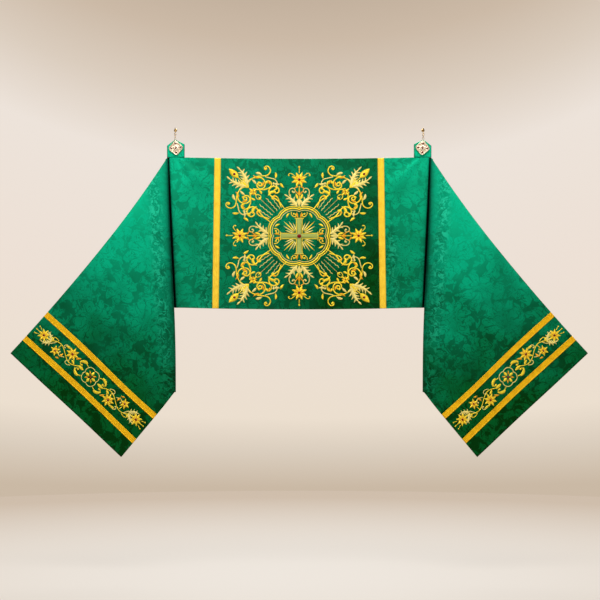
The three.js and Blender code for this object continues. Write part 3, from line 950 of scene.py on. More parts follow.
    def recipe(self) -> list[tuple]:
        """The rows of the material's nodes."""
        return [
            *self.places(),
            *self.figure_rows(),
            # The tone under the figure is painted light near the top edge and painted shade lower down,
            # deeper to the right and outwards, with broad soft changes
            ("tone", "TexNoise", {}, {"Vector": "broad", "Scale": 0.5, "Detail": 4.0, "Roughness": 0.6}),
            ("drift", "MapRange", {}, ("tone.Fac", 0.3, 0.7, -self.drift, self.drift)),
            ("flat", "Math", "LESS_THAN", ("out", "flat_edge")),
            ("inwards", "Math", "SUBTRACT", ("flat_edge", "out")),
            ("flat_start", "Math", "MULTIPLY_ADD", ("inwards", self.nap[2], self.nap[0])),
            ("flat_depth", "Math", "MULTIPLY_ADD", ("depth", self.nap[1], "flat_start")),
            ("wing_start", "Math", "MULTIPLY_ADD", ("out", self.wing_lean[0], self.wing_lean[1])),
            ("wing_depth", "Math", "ADD", ("depth", "wing_start")),
            ("nap", "Mix", {"data_type": "FLOAT"}, {0: "flat", 2: "wing_depth", 3: "flat_depth"}),
            ("leaning", "Math", "MULTIPLY_ADD", ("true.X", self.lean, "drift")),
            ("drifted", "Math", "ADD", ("nap.Result_Float", "leaning")),
            ("low", "MapRange", {"interpolation_type": "SMOOTHSTEP"}, ("drifted", *self.depth)),
            ("sooner", "Math", "POWER", ("low", self.sooner)),
            ("dull", "Mix", BLEND, {0: "sooner", 6: self.ground[0], 7: self.ground[1]}),
            ("satin", "Mix", BLEND, {0: "low", 6: self.figure[0], 7: self.figure[1]}),
            ("silk", "Mix", BLEND, {0: "shown", 6: "dull.Result_Color", 7: "satin.Result_Color"}),
            # The lace lifts the cloth to its own tones: the weave's lace figure, which carries a painted
            # highlight
            ("bright", "Math", "MULTIPLY", ("stripe_figure", self.stripe_light)),
            ("hollow", "Math", "SUBTRACT", ("stripe_in", "stripe_figure")),
            ("hollowed", "Math", "MULTIPLY", ("hollow", self.stripe_dark)),
            ("sunk", "Mix", BLEND, {0: "hollowed", 6: "silk.Result_Color", 7: self.hollow}),
            ("lace_tone", "Mix", BLEND, {0: "low", 6: self.lace_tones[0], 7: self.lace_tones[1]}),
            ("laced", "Mix", BLEND, {0: "bright", 6: "sunk.Result_Color", 7: "lace_tone.Result_Color"}),
            # The cloth form gives the painted shade of the pleat and of the cut edges as the second pattern
            # coordinate
            ("shaded", "Mix", BLEND, {0: "true.Y", 6: "laced.Result_Color", 7: self.shade}),
            ("gloss", "MapRange", {}, ("shown", 0.0, 1.0, self.ground_roughness, self.figure_roughness)),
            ("fine", "VectorMath", "SCALE", {"Vector": "place.Vector", "Scale": 1 / self.thread}),
            ("weave", "TexWave", {"bands_direction": "DIAGONAL"}, {"Vector": "fine", "Scale": 0.3}),
            ("relief", "Math", "MULTIPLY_ADD", ("weave.Fac", 0.12, "shown")),
            ("bump", "Bump", {}, {"Strength": 0.2, "Distance": 0.0005, "Height": "relief"}),
            ("cloth", "BsdfPrincipled", {}, {
                "Base Color": "shaded.Result_Color",
                "Metallic": self.metallic,
                "Roughness": "gloss",
                "Specular IOR Level": 0.08,
                "Normal": "bump",
            }),
        ]


@dataclass(frozen=True)
class MetalThread:
    """Gilt or silk thread laid side by side.

    The stitches lie across the stem, so that the light runs along it in one soft line.
    """

    name: str
    colour: str
    deep: str
    metallic: float = 0.35
    roughness: float = 0.42
    # Stitches are 0.4 mm apart. They are drawn at 1.1 mm, because finer doesn't show.
    stitch: float = 1.1
    # The painted shade where the thread turns down into the cloth, and how much of it shows at the very edge
    edge: str = "#3A2E00"
    edge_share: float = 0.65

    def recipe(self) -> list[tuple]:
        """The rows of the material's nodes."""
        return [
            ("place", "Attribute", {"attribute_name": PATTERN}, ()),
            ("along", "VectorMath", "SCALE", {"Vector": "place.Vector", "Scale": 1 / self.stitch}),
            ("stitches", "TexWave", {"bands_direction": "X"}, {
                "Vector": "along",
                "Scale": 0.314,
                "Distortion": 0.6,
            }),
            ("tint", "Mix", BLEND, {0: "stitches.Fac", 6: self.deep, 7: self.colour}),
            ("bump", "Bump", {}, {"Strength": 0.5, "Distance": 0.0004, "Height": "stitches.Fac"}),
            ("across", "SeparateXYZ", {}, ("place.Vector",)),
            # Painted shade that darkens each band towards its edges
            ("edge", "MapRange", {}, ("across.Z", 0.55, 1.0, 0.0, self.edge_share)),
            ("edged", "Mix", BLEND, {0: "edge", 6: "tint.Result_Color", 7: self.edge}),
            ("thread", "BsdfPrincipled", {}, {
                "Base Color": "edged.Result_Color",
                "Metallic": self.metallic,
                "Roughness": self.roughness,
                "Specular IOR Level": 0.2,
                "Normal": "bump",
            }),
        ]


@dataclass(frozen=True)
class GoldBraid:
    """Woven gold braid of gilt thread over a cotton core.

    Close cross ribs catch the light one after another, between two firmer selvedges.
    """

    name: str
    colour: str
    deep: str
    metallic: float = 0.3
    roughness: float = 0.45
    # The real ribs are 0.8 mm apart. They are drawn at 2.6 mm, because finer doesn't show.
    rib: float = 2.6

    def recipe(self) -> list[tuple]:
        """The rows of the material's nodes."""
        return [
            ("place", "Attribute", {"attribute_name": PATTERN}, ()),
            ("parts", "SeparateXYZ", {}, ("place.Vector",)),
            ("zigzag", "Math", "PINGPONG", ("parts.X", 3.2)),
            ("slant", "Math", "MULTIPLY_ADD", ("zigzag", 0.8, "parts.Y")),
            ("turns", "Math", "MULTIPLY", ("slant", 2 * math.pi / self.rib)),
            ("wave", "Math", "SINE", ("turns",)),
            ("ribs", "MapRange", {}, ("wave", -1.0)),
            ("patches", "TexNoise", {}, {"Vector": "place.Vector", "Scale": 0.05, "Detail": 3.0}),
            ("mix", "Math", "MULTIPLY_ADD", ("ribs", 0.45, "patches.Fac")),
            ("mixed", "MapRange", {}, ("mix", 0.3, 1.0)),
            ("tint", "Mix", BLEND, {0: "mixed", 6: self.deep, 7: self.colour}),
            ("bump", "Bump", {}, {"Strength": 0.6, "Distance": 0.0006, "Height": "ribs"}),
            ("braid", "BsdfPrincipled", {}, {
                "Base Color": "tint.Result_Color",
                "Metallic": self.metallic,
                "Roughness": self.roughness,
                "Specular IOR Level": 0.2,
                "Normal": "bump",
            }),
        ]


@dataclass(frozen=True)
class CastMetal:
    """Cast and polished metal. Its fine casting grain breaks up the reflections a little."""

    name: str
    colour: str
    deep: str
    roughness: float
    # Grain of the casting, in millimetres
    grain: float = 1.5

    def recipe(self) -> list[tuple]:
        """The rows of the material's nodes."""
        return [
            ("place", "TexCoord", {}, ()),
            ("grain", "TexNoise", {}, {"Vector": "place.Object", "Scale": 1000 / self.grain, "Detail": 2.0}),
            ("tint", "Mix", BLEND, {0: "grain.Fac", 6: self.deep, 7: self.colour}),
            ("bump", "Bump", {}, {"Strength": 0.2, "Distance": 0.0002, "Height": "grain.Fac"}),
            ("metal", "BsdfPrincipled", {}, {
                "Base Color": "tint.Result_Color",
                "Metallic": 1.0,
                "Roughness": self.roughness,
                "Normal": "bump",
            }),
        ]


@dataclass(frozen=True)
class GlassStone:
    """Red pressed glass, foiled behind, that shows as a dark spark."""

    name: str = "glass_stone"
    colour: str = "#8A120C"
    deep: str = "#4A0504"

    def recipe(self) -> list[tuple]:
        """The rows of the material's nodes."""
        return [
            ("place", "TexCoord", {}, ()),
            ("cloud", "TexNoise", {}, {"Vector": "place.Object", "Scale": 400.0}),
            ("tint", "Mix", BLEND, {0: "cloud.Fac", 6: self.deep, 7: self.colour}),
            ("glass", "BsdfPrincipled", {}, {
                "Base Color": "tint.Result_Color",
                "Roughness": 0.08,
                "IOR": 1.52,
            }),
        ]


THREADS = {
    GOLD: MetalThread("gold_thread", "#F8DF3C", "#D4AE12"),
    AMBER: MetalThread("amber_thread", "#EFAC18", "#BC7E08"),
    CREAM: MetalThread("cream_thread", "#ECDE86", "#C8AE48", 0.15),
    SAGE: MetalThread("sage_thread", "#B4B860", "#7A8C3C", 0.15),
}
SIDE_SILK = SilkDamask()
# The same damask with deeper tones and a lean to the right, as painted shade on the centre panel
SHADED_CENTRE_SILK = SilkDamask(
    name="shaded_centre_silk_damask",
    figure=("#059A6C", "#044E12"),
    ground=("#04704A", "#033404"),
    sooner=1.0,
    lean=0.73,
    nap=(430.0, 0.45, 0.0, 474.0),
    stripe_light=0.0,
    stripe_dark=0.0,
)
CENTRE_BRAID = GoldBraid("pale_gold_braid", "#EFC938", "#D9A71A")
WING_BRAID = GoldBraid("deep_gold_braid", "#F0BA00", "#C88E00")
GILT = CastMetal("gilt_brass", "#FFF6E4", "#EAD6B4", 0.36)
DULL_GILT = CastMetal("dull_gilt_brass", "#F4E2C6", "#BC9C74", 0.5)
GARNET = GlassStone("garnet_glass", "#7A2412")
BRASS = CastMetal("brass_wire", "#E3C083", "#B08A4C", 0.3)


@dataclass
class Wardrobe:
    """Makes each material once and dresses pieces with it."""

    made: dict[str, bpy.types.Material] = field(default_factory=dict)

    def material(self, finish: object) -> bpy.types.Material:
        """The material of a finish, made when it is first asked for.

        Args:
            finish: A finish, which has a name and a recipe.

        Returns:
            The material.
        """
        if finish.name not in self.made:
            self.made[finish.name] = new_material(finish.name, finish.recipe())
        return self.made[finish.name]

    def dress(self, piece: Piece, finish: object, slot: str, *nodes: str) -> Piece:
        """Gives a piece its material and its place in the frame.

        Args:
            piece: The object.
            finish: The finish, which has a name and a recipe.
            slot: A material slot's name; not used.
            nodes: The CAD nodes that the piece replaces.

        Returns:
            The same object.
        """
        piece.data.materials.clear()
        piece.data.materials.append(self.material(finish))
        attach(piece, "root")
        if nodes:
            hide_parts(*nodes)
        log.info("%s: %d faces", piece.name, len(piece.data.polygons))
        return piece


# Embroidery


@dataclass(frozen=True)
class Satin:
    """One band of satin stitch: its middle line and its width along it, in flat millimetres."""

    spine: Array
    widths: Array
    thread: Thread
    height: float = 1.2


@dataclass(frozen=True)
class Jewel:
    """A small glass stone at a place of the flat pattern."""

    centre: Pair
    radius: float


Stitched = Satin | Jewel
Sewing = list[Stitched]

# Loose leaves are widest at this share of their length
LEAF_BLUNT = 0.6


def walk(start: Sequence[float], heading: float, stretches: Iterable[Triple], step: float = 2.0) -> Array:
    """Follows a line whose turning changes evenly along each stretch.

    Args:
        start: Where the line starts.
        heading: Its first direction, in degrees from +x.
        stretches: A length, and the turning in degrees per millimetre at its start and its end.
        step: The distance between points.

    Returns:
        The points of the line.
    """
    points = [np.array(start, float)]
    angle = math.radians(heading)
    for length, first, last in stretches:
        count = max(2, round(length / step))
        for i in range(count):
            angle += math.radians(lerp(first, last, (i + 0.5) / count)) * length / count
            points.append(points[-1] + length / count * np.array([math.cos(angle), math.sin(angle)]))
    return np.array(points)


def shares(spine: Array) -> Array:
    """The share of its length at each point of a line."""
    length = np.concatenate([[0.0], np.cumsum(np.linalg.norm(np.diff(spine, axis=0), axis=1))])
    return length / length[-1]


def drop(
    base: Sequence[float],
    heading: float,
    length: float,
    width: float,
    thread: Thread = GOLD,
    bend: float = 0.0,
    blunt: float = 0.5,
) -> Satin:
    """A petal, bud or bulb.

    Args:
        base: Where it starts.
        heading: Its direction in degrees.
        length: Its length.
        width: Its greatest width.
        thread: Its thread.
        bend: Its turning in degrees per millimetre.
        blunt: The share of its length where it is widest.

    Returns:
        The band of stitches.
    """
    spine = walk(base, heading, ((length, bend, bend),), max(0.8, length / 12))
    power = math.log(0.5) / math.log(blunt)
    widths = width * np.sin(math.pi * np.clip(shares(spine), 0.015, 0.985) ** power) ** 0.75
    return Satin(spine, widths, thread)


def cord(
    start: Sequence[float],
    heading: float,
    stretches: Iterable[Triple],
    width: float = 3.2,
    thread: Thread = GOLD,
    bulb: float = 0.0,
    fade: float = 0.0,
) -> Sewing:
    """A stem or scroll of even width.

    Args:
        start: Where it starts.
        heading: Its first direction.
        stretches: How it turns, as for walk.
        width: Its width.
        thread: Its thread.
        bulb: The radius of a round end, or 0 for none.
        fade: The share of its length over which it swells from its root, or 0 for none.

    Returns:
        The bands of stitches.
    """
    spine = walk(start, heading, stretches)
    t = shares(spine)
    widths = width * np.clip((1.0 - t) / 0.02, 0.45, 1.0)
    if fade:
        widths = widths * np.minimum(1.0, 0.35 + t / fade * 0.65)
    pieces: Sewing = [Satin(spine, widths, thread)]
    if bulb:
        pieces.append(drop(spine[-1], 0.0, 2 * bulb, 2 * bulb, thread))
    return pieces


def plume(
    base: Sequence[float],
    heading: float,
    length: float,
    width: float,
    thread: Thread = CREAM,
    bend: float = 0.0,
    lobes: int = 5,
) -> Sewing:
    """A leaf of lobes that spring in pairs from a curved rib.

    Args:
        base: The foot of the leaf.
        heading: Its first direction.
        length: The length of its rib.
        width: How wide the leaf is.
        thread: Its thread.
        bend: The rib's turning in degrees per millimetre.
        lobes: Pairs of lobes.

    Returns:
        The bands of stitches.
    """
    rib = walk(base, heading, ((length, bend, bend),), 1.5)
    t = shares(rib)
    body = 0.5 * width * np.sin(math.pi * np.clip(t, 0.04, 0.97) ** 0.7) ** 0.8 + 1.5
    pieces: Sewing = [Satin(rib, body, thread, 1.5)]
    for i in range(lobes):
        share = 0.1 + 0.66 * i / (lobes - 1)
        at = int(share * (len(rib) - 2))
        aim = math.degrees(math.atan2(*(rib[at + 1] - rib[at])[::-1]))
        reach = width * (0.95 - 0.35 * share)
        for side in (-1, 1):
            pieces.append(drop(rib[at], aim + side * 36, reach, 0.27 * reach, thread, side * 26 / reach))
    aim = math.degrees(math.atan2(*(rib[-1] - rib[-3])[::-1]))
    pieces.append(drop(rib[-4], aim, 0.7 * width, 0.24 * width, thread, bend))
    vein = drop(rib[2], heading, 0.72 * length, 0.16 * width, GOLD, bend, 0.4)
    return [*pieces, replace(vein, height=2.1)]


def lobed(radius: float, lobe: float, lobes: int, width: float, thread: Thread) -> Satin:
    """A closed ring whose edge swells into lobes.

    Args:
        radius: Its radius between the lobes.
        lobe: How far each lobe swells.
        lobes: How many lobes it has.
        width: Its width.
        thread: Its thread.

    Returns:
        The band of stitches.
    """
    angles = np.radians(np.linspace(0, 362, 46 * lobes))
    reach = radius + lobe * np.abs(np.sin(lobes / 2 * angles)) ** 0.7
    spine = np.stack([reach * np.cos(angles), reach * np.sin(angles)], axis=-1)
    return Satin(spine, np.full(len(spine), width), thread)


def star(centre: Sequence[float], radius: float, petals: int, turn: float = 0.0) -> Sewing:
    """A flower of pointed petals in two rings, gold outside and amber inside.

    Args:
        centre: Its middle.
        radius: How far its outer petals reach.
        petals: Petals in each ring.
        turn: The direction of the first petal.

    Returns:
        The bands of stitches.
    """
    pieces: Sewing = []
    rings = ((1.0, 0.36, GOLD), (0.62, 0.3, AMBER))
    for ring, (reach, width, thread) in enumerate(rings):
        for i in range(petals):
            angle = turn + 360 / petals * (i + 0.5 * ring)
            root = np.array(centre) + turned((radius * 0.1, 0), angle)
            pieces.append(drop(root, angle, radius * reach * 0.9, radius * width, thread, 0.0, 0.42))
    return pieces


def changed(piece: Stitched, change: Callable[[Array], Array]) -> Stitched:
    """The same piece with its flat points changed.

    Args:
        piece: A band of stitches or a stone.
        change: What gives the new points from the old.

    Returns:
        The new piece.
    """
    if isinstance(piece, Jewel):
        return replace(piece, centre=tuple(change(np.array([piece.centre]))[0]))
    return replace(piece, spine=change(piece.spine))


def mirrored(pieces: Iterable[Stitched]) -> Sewing:
    """The same pieces mirrored in the x axis."""
    return [changed(piece, lambda points: points * (1, -1)) for piece in pieces]


def rotated(pieces: Iterable[Stitched], degrees: float) -> Sewing:
    """The same pieces turned round the middle of the pattern."""
    return [changed(piece, lambda points: turned(points, degrees)) for piece in pieces]


def spun(pieces: Sequence[Stitched], copies: int, mirror: bool = False) -> Sewing:
    """Repeats pieces round the middle of the pattern.

    Args:
        pieces: The pieces of one part.
        copies: How many times they stand round the middle.
        mirror: Whether they are first mirrored in the x axis too.

    Returns:
        All the pieces.
    """
    base = [*pieces, *mirrored(pieces)] if mirror else pieces
    return [piece for i in range(copies) for piece in rotated(base, 360 * i / copies)]


@dataclass(frozen=True)
class Embroidery:
    """Sews flat pieces on the cloth."""

    surface: Callable[[Array], Array]
    # Across a band of stitches: shares of its half width, and of its height where they are above the cloth
    profile: tuple[Pair, ...] = ((-1.0, -0.12), (-0.6, 0.78), (0.0, 1.0), (0.6, 0.78), (1.0, -0.12))
    # The greatest height of a band, as a share of its width
    slope: float = 0.34
    # A stone from its foot to its top: shares of its radius, and heights
    stone: tuple[Pair, ...] = ((1.0, -0.1), (1.0, 0.5), (0.82, 0.85), (0.5, 1.05), (0.02, 1.1))
    stone_points: int = 12
    stone_base: float = 1.2
    stone_rise: float = 0.4

    def raised(self, flat: Array, height: Array) -> Array:
        """Points above the cloth's face.

        Args:
            flat: Flat pattern points, x and y.
            height: The height of each above the cloth's face.

        Returns:
            Points of the frame.
        """
        here = self.surface(flat)
        across = self.surface(flat + (0.5, 0)) - here
        upwards = self.surface(flat + (0, 0.5)) - here
        normal = unit(np.cross(upwards, across))
        normal *= -np.sign(normal[..., 1:2])
        return here + normal * (HALF_CLOTH + height[..., None])

    def sew(self, name: str, pieces: Sequence[Stitched], thread: Thread, side: Side) -> Piece:
        """Makes one object of all the pieces in one thread.

        Args:
            name: The object's name.
            pieces: The flat pieces.
            thread: The thread to take.
            side: The half that the object lies in.

        Returns:
            The object.
        """
        shell = Shell()
        for piece in pieces:
            if isinstance(piece, Jewel) or piece.thread is not thread:
                continue
            tangent = unit(np.gradient(piece.spine, axis=0))
            aside = np.stack([-tangent[:, 1], tangent[:, 0]], axis=-1)
            half = piece.widths / 2
            height = np.minimum(piece.height, self.slope * piece.widths)
            flat = np.stack([piece.spine + aside * (half * s)[:, None] for s, _ in self.profile], axis=1)
            raised = np.stack([np.where(h > 0, height * h, h) for _, h in self.profile], axis=1)
            length = shares(piece.spine) * np.linalg.norm(np.diff(piece.spine, axis=0), axis=1).sum()
            # Pattern coordinates: along the band, across it, and the share of the way to its edge
            marks = [np.stack([length, half * s, 0 * half + abs(s)], axis=-1) for s, _ in self.profile]
            shell.add_grid(self.raised(flat, raised), SHEET, np.stack(marks, axis=1))
        return shell.make(name, side)

    def set_stones(self, name: str, pieces: Sequence[Stitched], side: Side) -> Piece:
        """Makes one object of all the glass stones.

        Args:
            name: The object's name.
            pieces: The flat pieces.
            side: The half that the object lies in.

        Returns:
            The object.
        """
        shell = Shell()
        girdle = circle(self.stone_points)
        for piece in pieces:
            if not isinstance(piece, Jewel):
                continue
            flat = np.array([np.array(piece.centre) + girdle * piece.radius * r for r, _ in self.stone])
            rise = self.stone_rise * piece.radius
            heights = [self.stone_base + rise * h if h > 0 else h for _, h in self.stone]
            height = np.repeat(np.array(heights)[:, None], self.stone_points, axis=1)
            shell.add_grid(self.raised(flat, height), TUBE)
        return shell.make(name, side)


@dataclass(frozen=True)
class CentreDesign:
    """The square on the centre panel: a small cross in a lobed frame, with flowers and scrolls about it.

    It is a general church pattern of the maker's own, the same in all four quarters.
    """

    flower_at: float = 206.0
    flower: float = 28.0
    frame: float = 96.0
    lobe: float = 9.0
    frame_cords: tuple[tuple[float, float, Thread], ...] = (
        (0.0, 5.6, GOLD), (-7.5, 2.6, CREAM), (7.0, 3.4, GOLD),
    )
    cross_arm: float = 64.0
    # The rays beside each diagonal: their angles from it, where they start and how long they are. The first
    # is straight, and each wave of the others has this length and turning.
    rays: tuple[Triple, ...] = ((0.0, 122, 80), (5.0, 120, 68), (10.5, 120, 56))
    wave: float = 8.0
    wave_turn: float = 13.0

    def axis(self) -> Sewing:
        """What stands on each axis, drawn along +x.

        Returns:
            The bands of stitches and the stones.
        """
        at = self.flower_at
        return [
            *cord((106, 0), 0, ((76, 0, 0),), 3.6),
            *star((at, 0), self.flower, 8, 22.5),
            Jewel((at, 0), 4.6),
            *cord((at + 24, 0), 0, ((18, 0, 0),), 3.0, GOLD, 3.6),
            drop((108, 0), 0, 30, 15, CREAM, 0, 0.55),
            drop((144, 0), 0, 22, 10, AMBER, 0, 0.5),
        ]

    def beside_axis(self) -> Sewing:
        """What stands on both sides of each axis.

        Returns:
            The bands of stitches and the stones.
        """
        curl = ((44, -1.2, 0.6), (36, 1.6, -1.2), (64, -2.6, -3.4), (46, -3.8, -10))
        return [
            *cord((219, 16), 50, ((12, 0, 0), (20, 5, 11)), 2.8, GOLD, 3.0),
            *cord((150, 2), 34, ((20, 1, -1), (18, -4, -12)), 3.6, AMBER, 3.4),
            drop((132, 2), 40, 24, 9, GOLD, -1.4, 0.6),
            *plume((108, 8), 30, 50, 25, CREAM, 0.45, 3),
            *cord((146, 34), 4, ((16, 0.6, -1.2), (46, -3.4, -8.5)), 3.4, CREAM, 3.6),
            *cord((92, 42), 54, curl, 5.2, GOLD, 5.4, 0.2),
            *cord((104, 62), 30, ((34, -1.4, 0.8), (26, 2.6, 6.0), (12, 8, 14)), 4.0, GOLD, 4.0),
            drop((146, 108), -16, 34, 11, GOLD, -2.4, 0.6),
            drop((150, 82), 128, 18, 8, AMBER, 2.0, 0.5),
        ]

    def corner_scrolls(self) -> Sewing:
        """The scrolls that run from each corner towards the axis flowers.

        Returns:
            The bands of stitches and the stones.
        """
        outer = ((40, -1.5, -1.7), (54, -1.8, -2.6), (50, -3.2, -5.4), (34, -6.4, -13))
        under = ((30, -0.4, 0.6), (44, 2.6, 3.6), (26, 5, 11))
        pale = ((26, 0.6, 0.0), (34, -2.0, -4.2), (16, -7, -13))
        inner = ((30, 1.0, 0.2), (30, 0.6, 1.8), (34, 3.4, 5.4), (12, 8, 13))
        leaves = (
            ((222, 160), -150, 26, 9, AMBER, 2.6),
            ((206, 166), -120, 24, 9, CREAM, -1.2),
            ((220, 128), 40, 26, 10, CREAM, 2.0),
            ((204, 112), -120, 20, 8, AMBER, -2.4),
            ((178, 132), -48, 22, 8, AMBER, 2.4),
            ((208, 84), -30, 24, 9, GOLD, 2.0),
            ((190, 66), 110, 22, 9, CREAM, -2.0),
            ((176, 52), 60, 22, 9, GOLD, -2.0),
            ((168, 140), -130, 18, 8, GOLD, -2.0),
        )
        return [
            *cord((188, 178), -14, outer, 5.0, GOLD, 4.8, 0.2),
            *cord((217, 146), -84, under, 4.4, GOLD, 4.4),
            *cord((216, 118), -110, pale, 4.0, CREAM, 4.2),
            *cord((172, 160), -108, inner, 4.6, GOLD, 4.8),
            *(drop(*leaf, LEAF_BLUNT) for leaf in leaves),
            *plume((184, 180), 8, 64, 27, CREAM, 0.5, 4),
        ]

    def diagonal(self) -> Sewing:
        """The bud, small star and wavy rays on each diagonal.

        Returns:
            The bands of stitches and the stones.
        """
        middle = [
            drop((248, 0), 0, 36, 14, GOLD, 0, 0.4),
            *cord((256, 0), 0, ((50, 0, 0),), 3.4),
            drop((300, 0), 0, 44, 24, GOLD, 0, 0.42),
            drop((306, 0), 0, 27, 12, AMBER),
            Jewel((318, 0), 4.4),
            *star((226, 0), 19, 4),
        ]
        near = [drop((252, 4), 24, 34, 10, GOLD, -1.2), *cord((238, 2), 168, ((8, 0, 0),), 3.0)]
        for angle, start, length in self.rays:
            turns = ([1, -1] * 5)[: round(length / self.wave)]
            waves = tuple((self.wave, sign * self.wave_turn, -sign * self.wave_turn) for sign in turns)
            course = waves if angle else ((length, 0, 0),)
            near += cord(turned((start, 0), angle), angle, course, 2.4, CREAM)
        near += cord((212, 3), 150, ((10, 0, 2), (18, 4, 9)), 3.0, GOLD, 3.0)
        return rotated([*middle, *near, *mirrored(near)], 45)

    def cross(self) -> Sewing:
        """An arm of the cross and the rays beside it.

        Returns:
            The bands of stitches and the stones.
        """
        along = np.linspace(0, 1, 21)
        spine = np.stack([lerp(5, self.cross_arm, along), 0 * along], axis=-1)
        pieces = [
            Satin(spine, 17 + 10 * along**3, SAGE, 1.6),
            *cord((9, 10), 0, ((44, 0, 0), (14, 0.2, 1.2)), 2.8),
            *cord((9, -10), 0, ((44, 0, 0), (14, -0.2, -1.2)), 2.8),
            *cord((self.cross_arm + 1, -16), 90, ((32, 0, 0),), 3.4),
        ]
        for angle, reach in ((45, 66), (33, 56), (57, 56), (21, 44), (69, 44)):
            thread = GOLD if angle == 45 else CREAM
            pieces.append(drop(turned((18, 0), angle) + 4, angle, reach - 14, 5.0, thread, 0, 0.35))
        return pieces

    def knots(self) -> Sewing:
        """The small scrolls between each arm of the cross and the frame."""
        return [
            *cord((88, 27), 156, ((20, 5.0, 3.0), (24, 7.5, 15)), 3.4, GOLD, 3.4),
            drop((86, 8), 170, 20, 8, AMBER, 2.0),
            drop((84, 34), 128, 20, 7, GOLD, 2.0),
        ]

    def pieces(self) -> Sewing:
        """All the pieces of the square."""
        both_sides = self.beside_axis() + self.corner_scrolls() + self.knots()
        once = self.axis() + self.diagonal() + self.cross()
        frame = [lobed(self.frame + offset, self.lobe, 8, *rest) for offset, *rest in self.frame_cords]
        return [*frame, *spun(both_sides, 4, True), *spun(once, 4), Jewel((0, 0), 7.5)]


@dataclass(frozen=True)
class BandDesign:
    """The band near the end of each wing: a waving stem with flowers, from a rosette in the middle.

    x runs along the band and y across it. Turned half round, it is the same again.
    """

    rosette: float = 26.0
    flowers: tuple[tuple[Pair, float, int, float], ...] = (
        ((104, -16), 25, 8, 10),
        ((160, 17), 20, 6, 0),
        ((228, 3), 24, 8, 0),
    )
    # The stone in a flower, as a share of the flower's radius
    stone_share: float = 0.17
    # Where the waving stem starts and ends, and how far it swings
    stem: Pair = (58.0, 196.0)
    stem_swing: float = 15.0

    def middle(self) -> Sewing:
        """The rosette in its lobed ring."""
        petals = [drop((6, 0), 0, 17, 11, GOLD), drop(turned((8, 0), 45), 45, 15, 6, AMBER)]
        return [*spun(petals, 4), Jewel((0, 0), 4.0), lobed(self.rosette, 8.0, 4, 3.2, CREAM)]

    def half(self) -> Sewing:
        """What runs from the rosette to one end.

        Returns:
            The bands of stitches and the stones.
        """
        start, end = self.stem
        x = np.linspace(start, end, 70)
        stem = np.stack([x, self.stem_swing * np.sin(2 * math.pi * (x - start) / (end - start))], axis=-1)
        beside_rosette = [
            *cord((30, 22), 22, ((22, -0.5, -1.5), (34, -4, -9)), 3.4, GOLD, 3.8),
            drop((38, 28), 12, 34, 12, GOLD, -2.2, 0.4),
        ]
        leaves = (
            ((74, 12), -60, 22, 9, GOLD, 2.6),
            ((132, 4), 100, 20, 9, AMBER, -2.0),
            ((142, -22), -150, 20, 9, GOLD, -2.0),
            ((66, -26), 20, 22, 8, AMBER, 2.0),
            ((130, 30), 0, 16, 7, AMBER, 2.0),
            ((186, -4), -40, 18, 8, GOLD, 2.0),
        )
        pieces = [
            Satin(stem, np.full(len(stem), 3.4), GOLD),
            drop((36, 0), 0, 26, 12),
            drop((43, 0), 0, 13, 5, AMBER),
            *mirrored(beside_rosette),
            *beside_rosette,
            *cord((84, 18), 52, ((16, -2, -3), (26, -5, -11)), 3.0, CREAM, 3.4),
            *cord((98, 12), -66, ((12, 0, 0),), 3.0),
            *cord((156, -12), 80, ((14, 0, 0),), 3.0),
            *cord((122, -24), -28, ((18, 1, 3), (24, 5, 12)), 3.0, CREAM, 3.2),
            *cord((120, 12), 34, ((18, 0, -2), (20, -5, -12)), 3.0, CREAM, 3.2),
            *cord((172, -18), -12, ((18, 0, 2), (22, 6, 12)), 3.0, GOLD, 3.2),
            *cord((176, -12), 60, ((22, 0.5, -1.5), (22, -4, -11)), 3.0, CREAM, 3.2),
            *(drop(*leaf, LEAF_BLUNT) for leaf in leaves),
            *plume((194, 4), 68, 34, 17, CREAM, -1.6, 3),
            *plume((194, 4), -62, 38, 17, CREAM, 1.4, 3),
            *cord((190, 2), 0, ((18, 0, 0),), 3.4),
        ]
        for centre, radius, petals, turn in self.flowers:
            pieces += [*star(centre, radius, petals, turn), Jewel(centre, radius * self.stone_share)]
        for angle in (-26, 0, 26):
            foot = self.flowers[-1][0] + turned((21, 0), angle)
            pieces += cord(foot, angle, ((12, 0, 0),), 2.6, GOLD, 2.8)
        return pieces

    def pieces(self) -> Sewing:
        """All the pieces of the band."""
        return [*self.middle(), *spun(self.half(), 2)]


# Sub-assemblies


@dataclass(frozen=True)
class Braid:
    """Gold braid laid on the cloth, with a firm raised line along each selvedge."""

    # From one edge to the middle: shares of its half width, and heights off the middle of the cloth
    half_profile: tuple[Pair, ...] = (
        (-1.0, 1.8), (-0.96, 2.6), (-0.86, 2.75), (-0.76, 2.45), (-0.4, 2.55), (0.0, 2.6),
    )
    rows: int = 150
    back: float = HALF_CLOTH + 0.15
    rim: float = 0.3

    @property
    def across(self) -> Array:
        """Where its columns lie, as shares of its half width from edge to edge."""
        half = [share for share, _ in self.half_profile]
        return np.array([*half, *(-share for share in half[-2::-1])])

    @property
    def down(self) -> Array:
        """Where its rows lie, as shares of the strip's width."""
        return np.linspace(0, 1, self.rows)

    def shell(self, grid: Array, width: float) -> Shell:
        """Makes the braid on a grid of the cloth's points.

        Args:
            grid: The cloth's surface under the braid's rows and columns.
            width: The width that its ribs are drawn for.

        Returns:
            The closed shell, with its width and its length as pattern coordinates.
        """
        half = [height for _, height in self.half_profile]
        heights = np.array([*half, *half[-2::-1]])
        places = (self.across * width / 2, self.down[:, None] * ClothForm.width, 0.0)
        return wall(grid, self.back, heights, self.rim, np.stack(np.broadcast_arrays(*places), axis=-1))


BRAID = Braid()


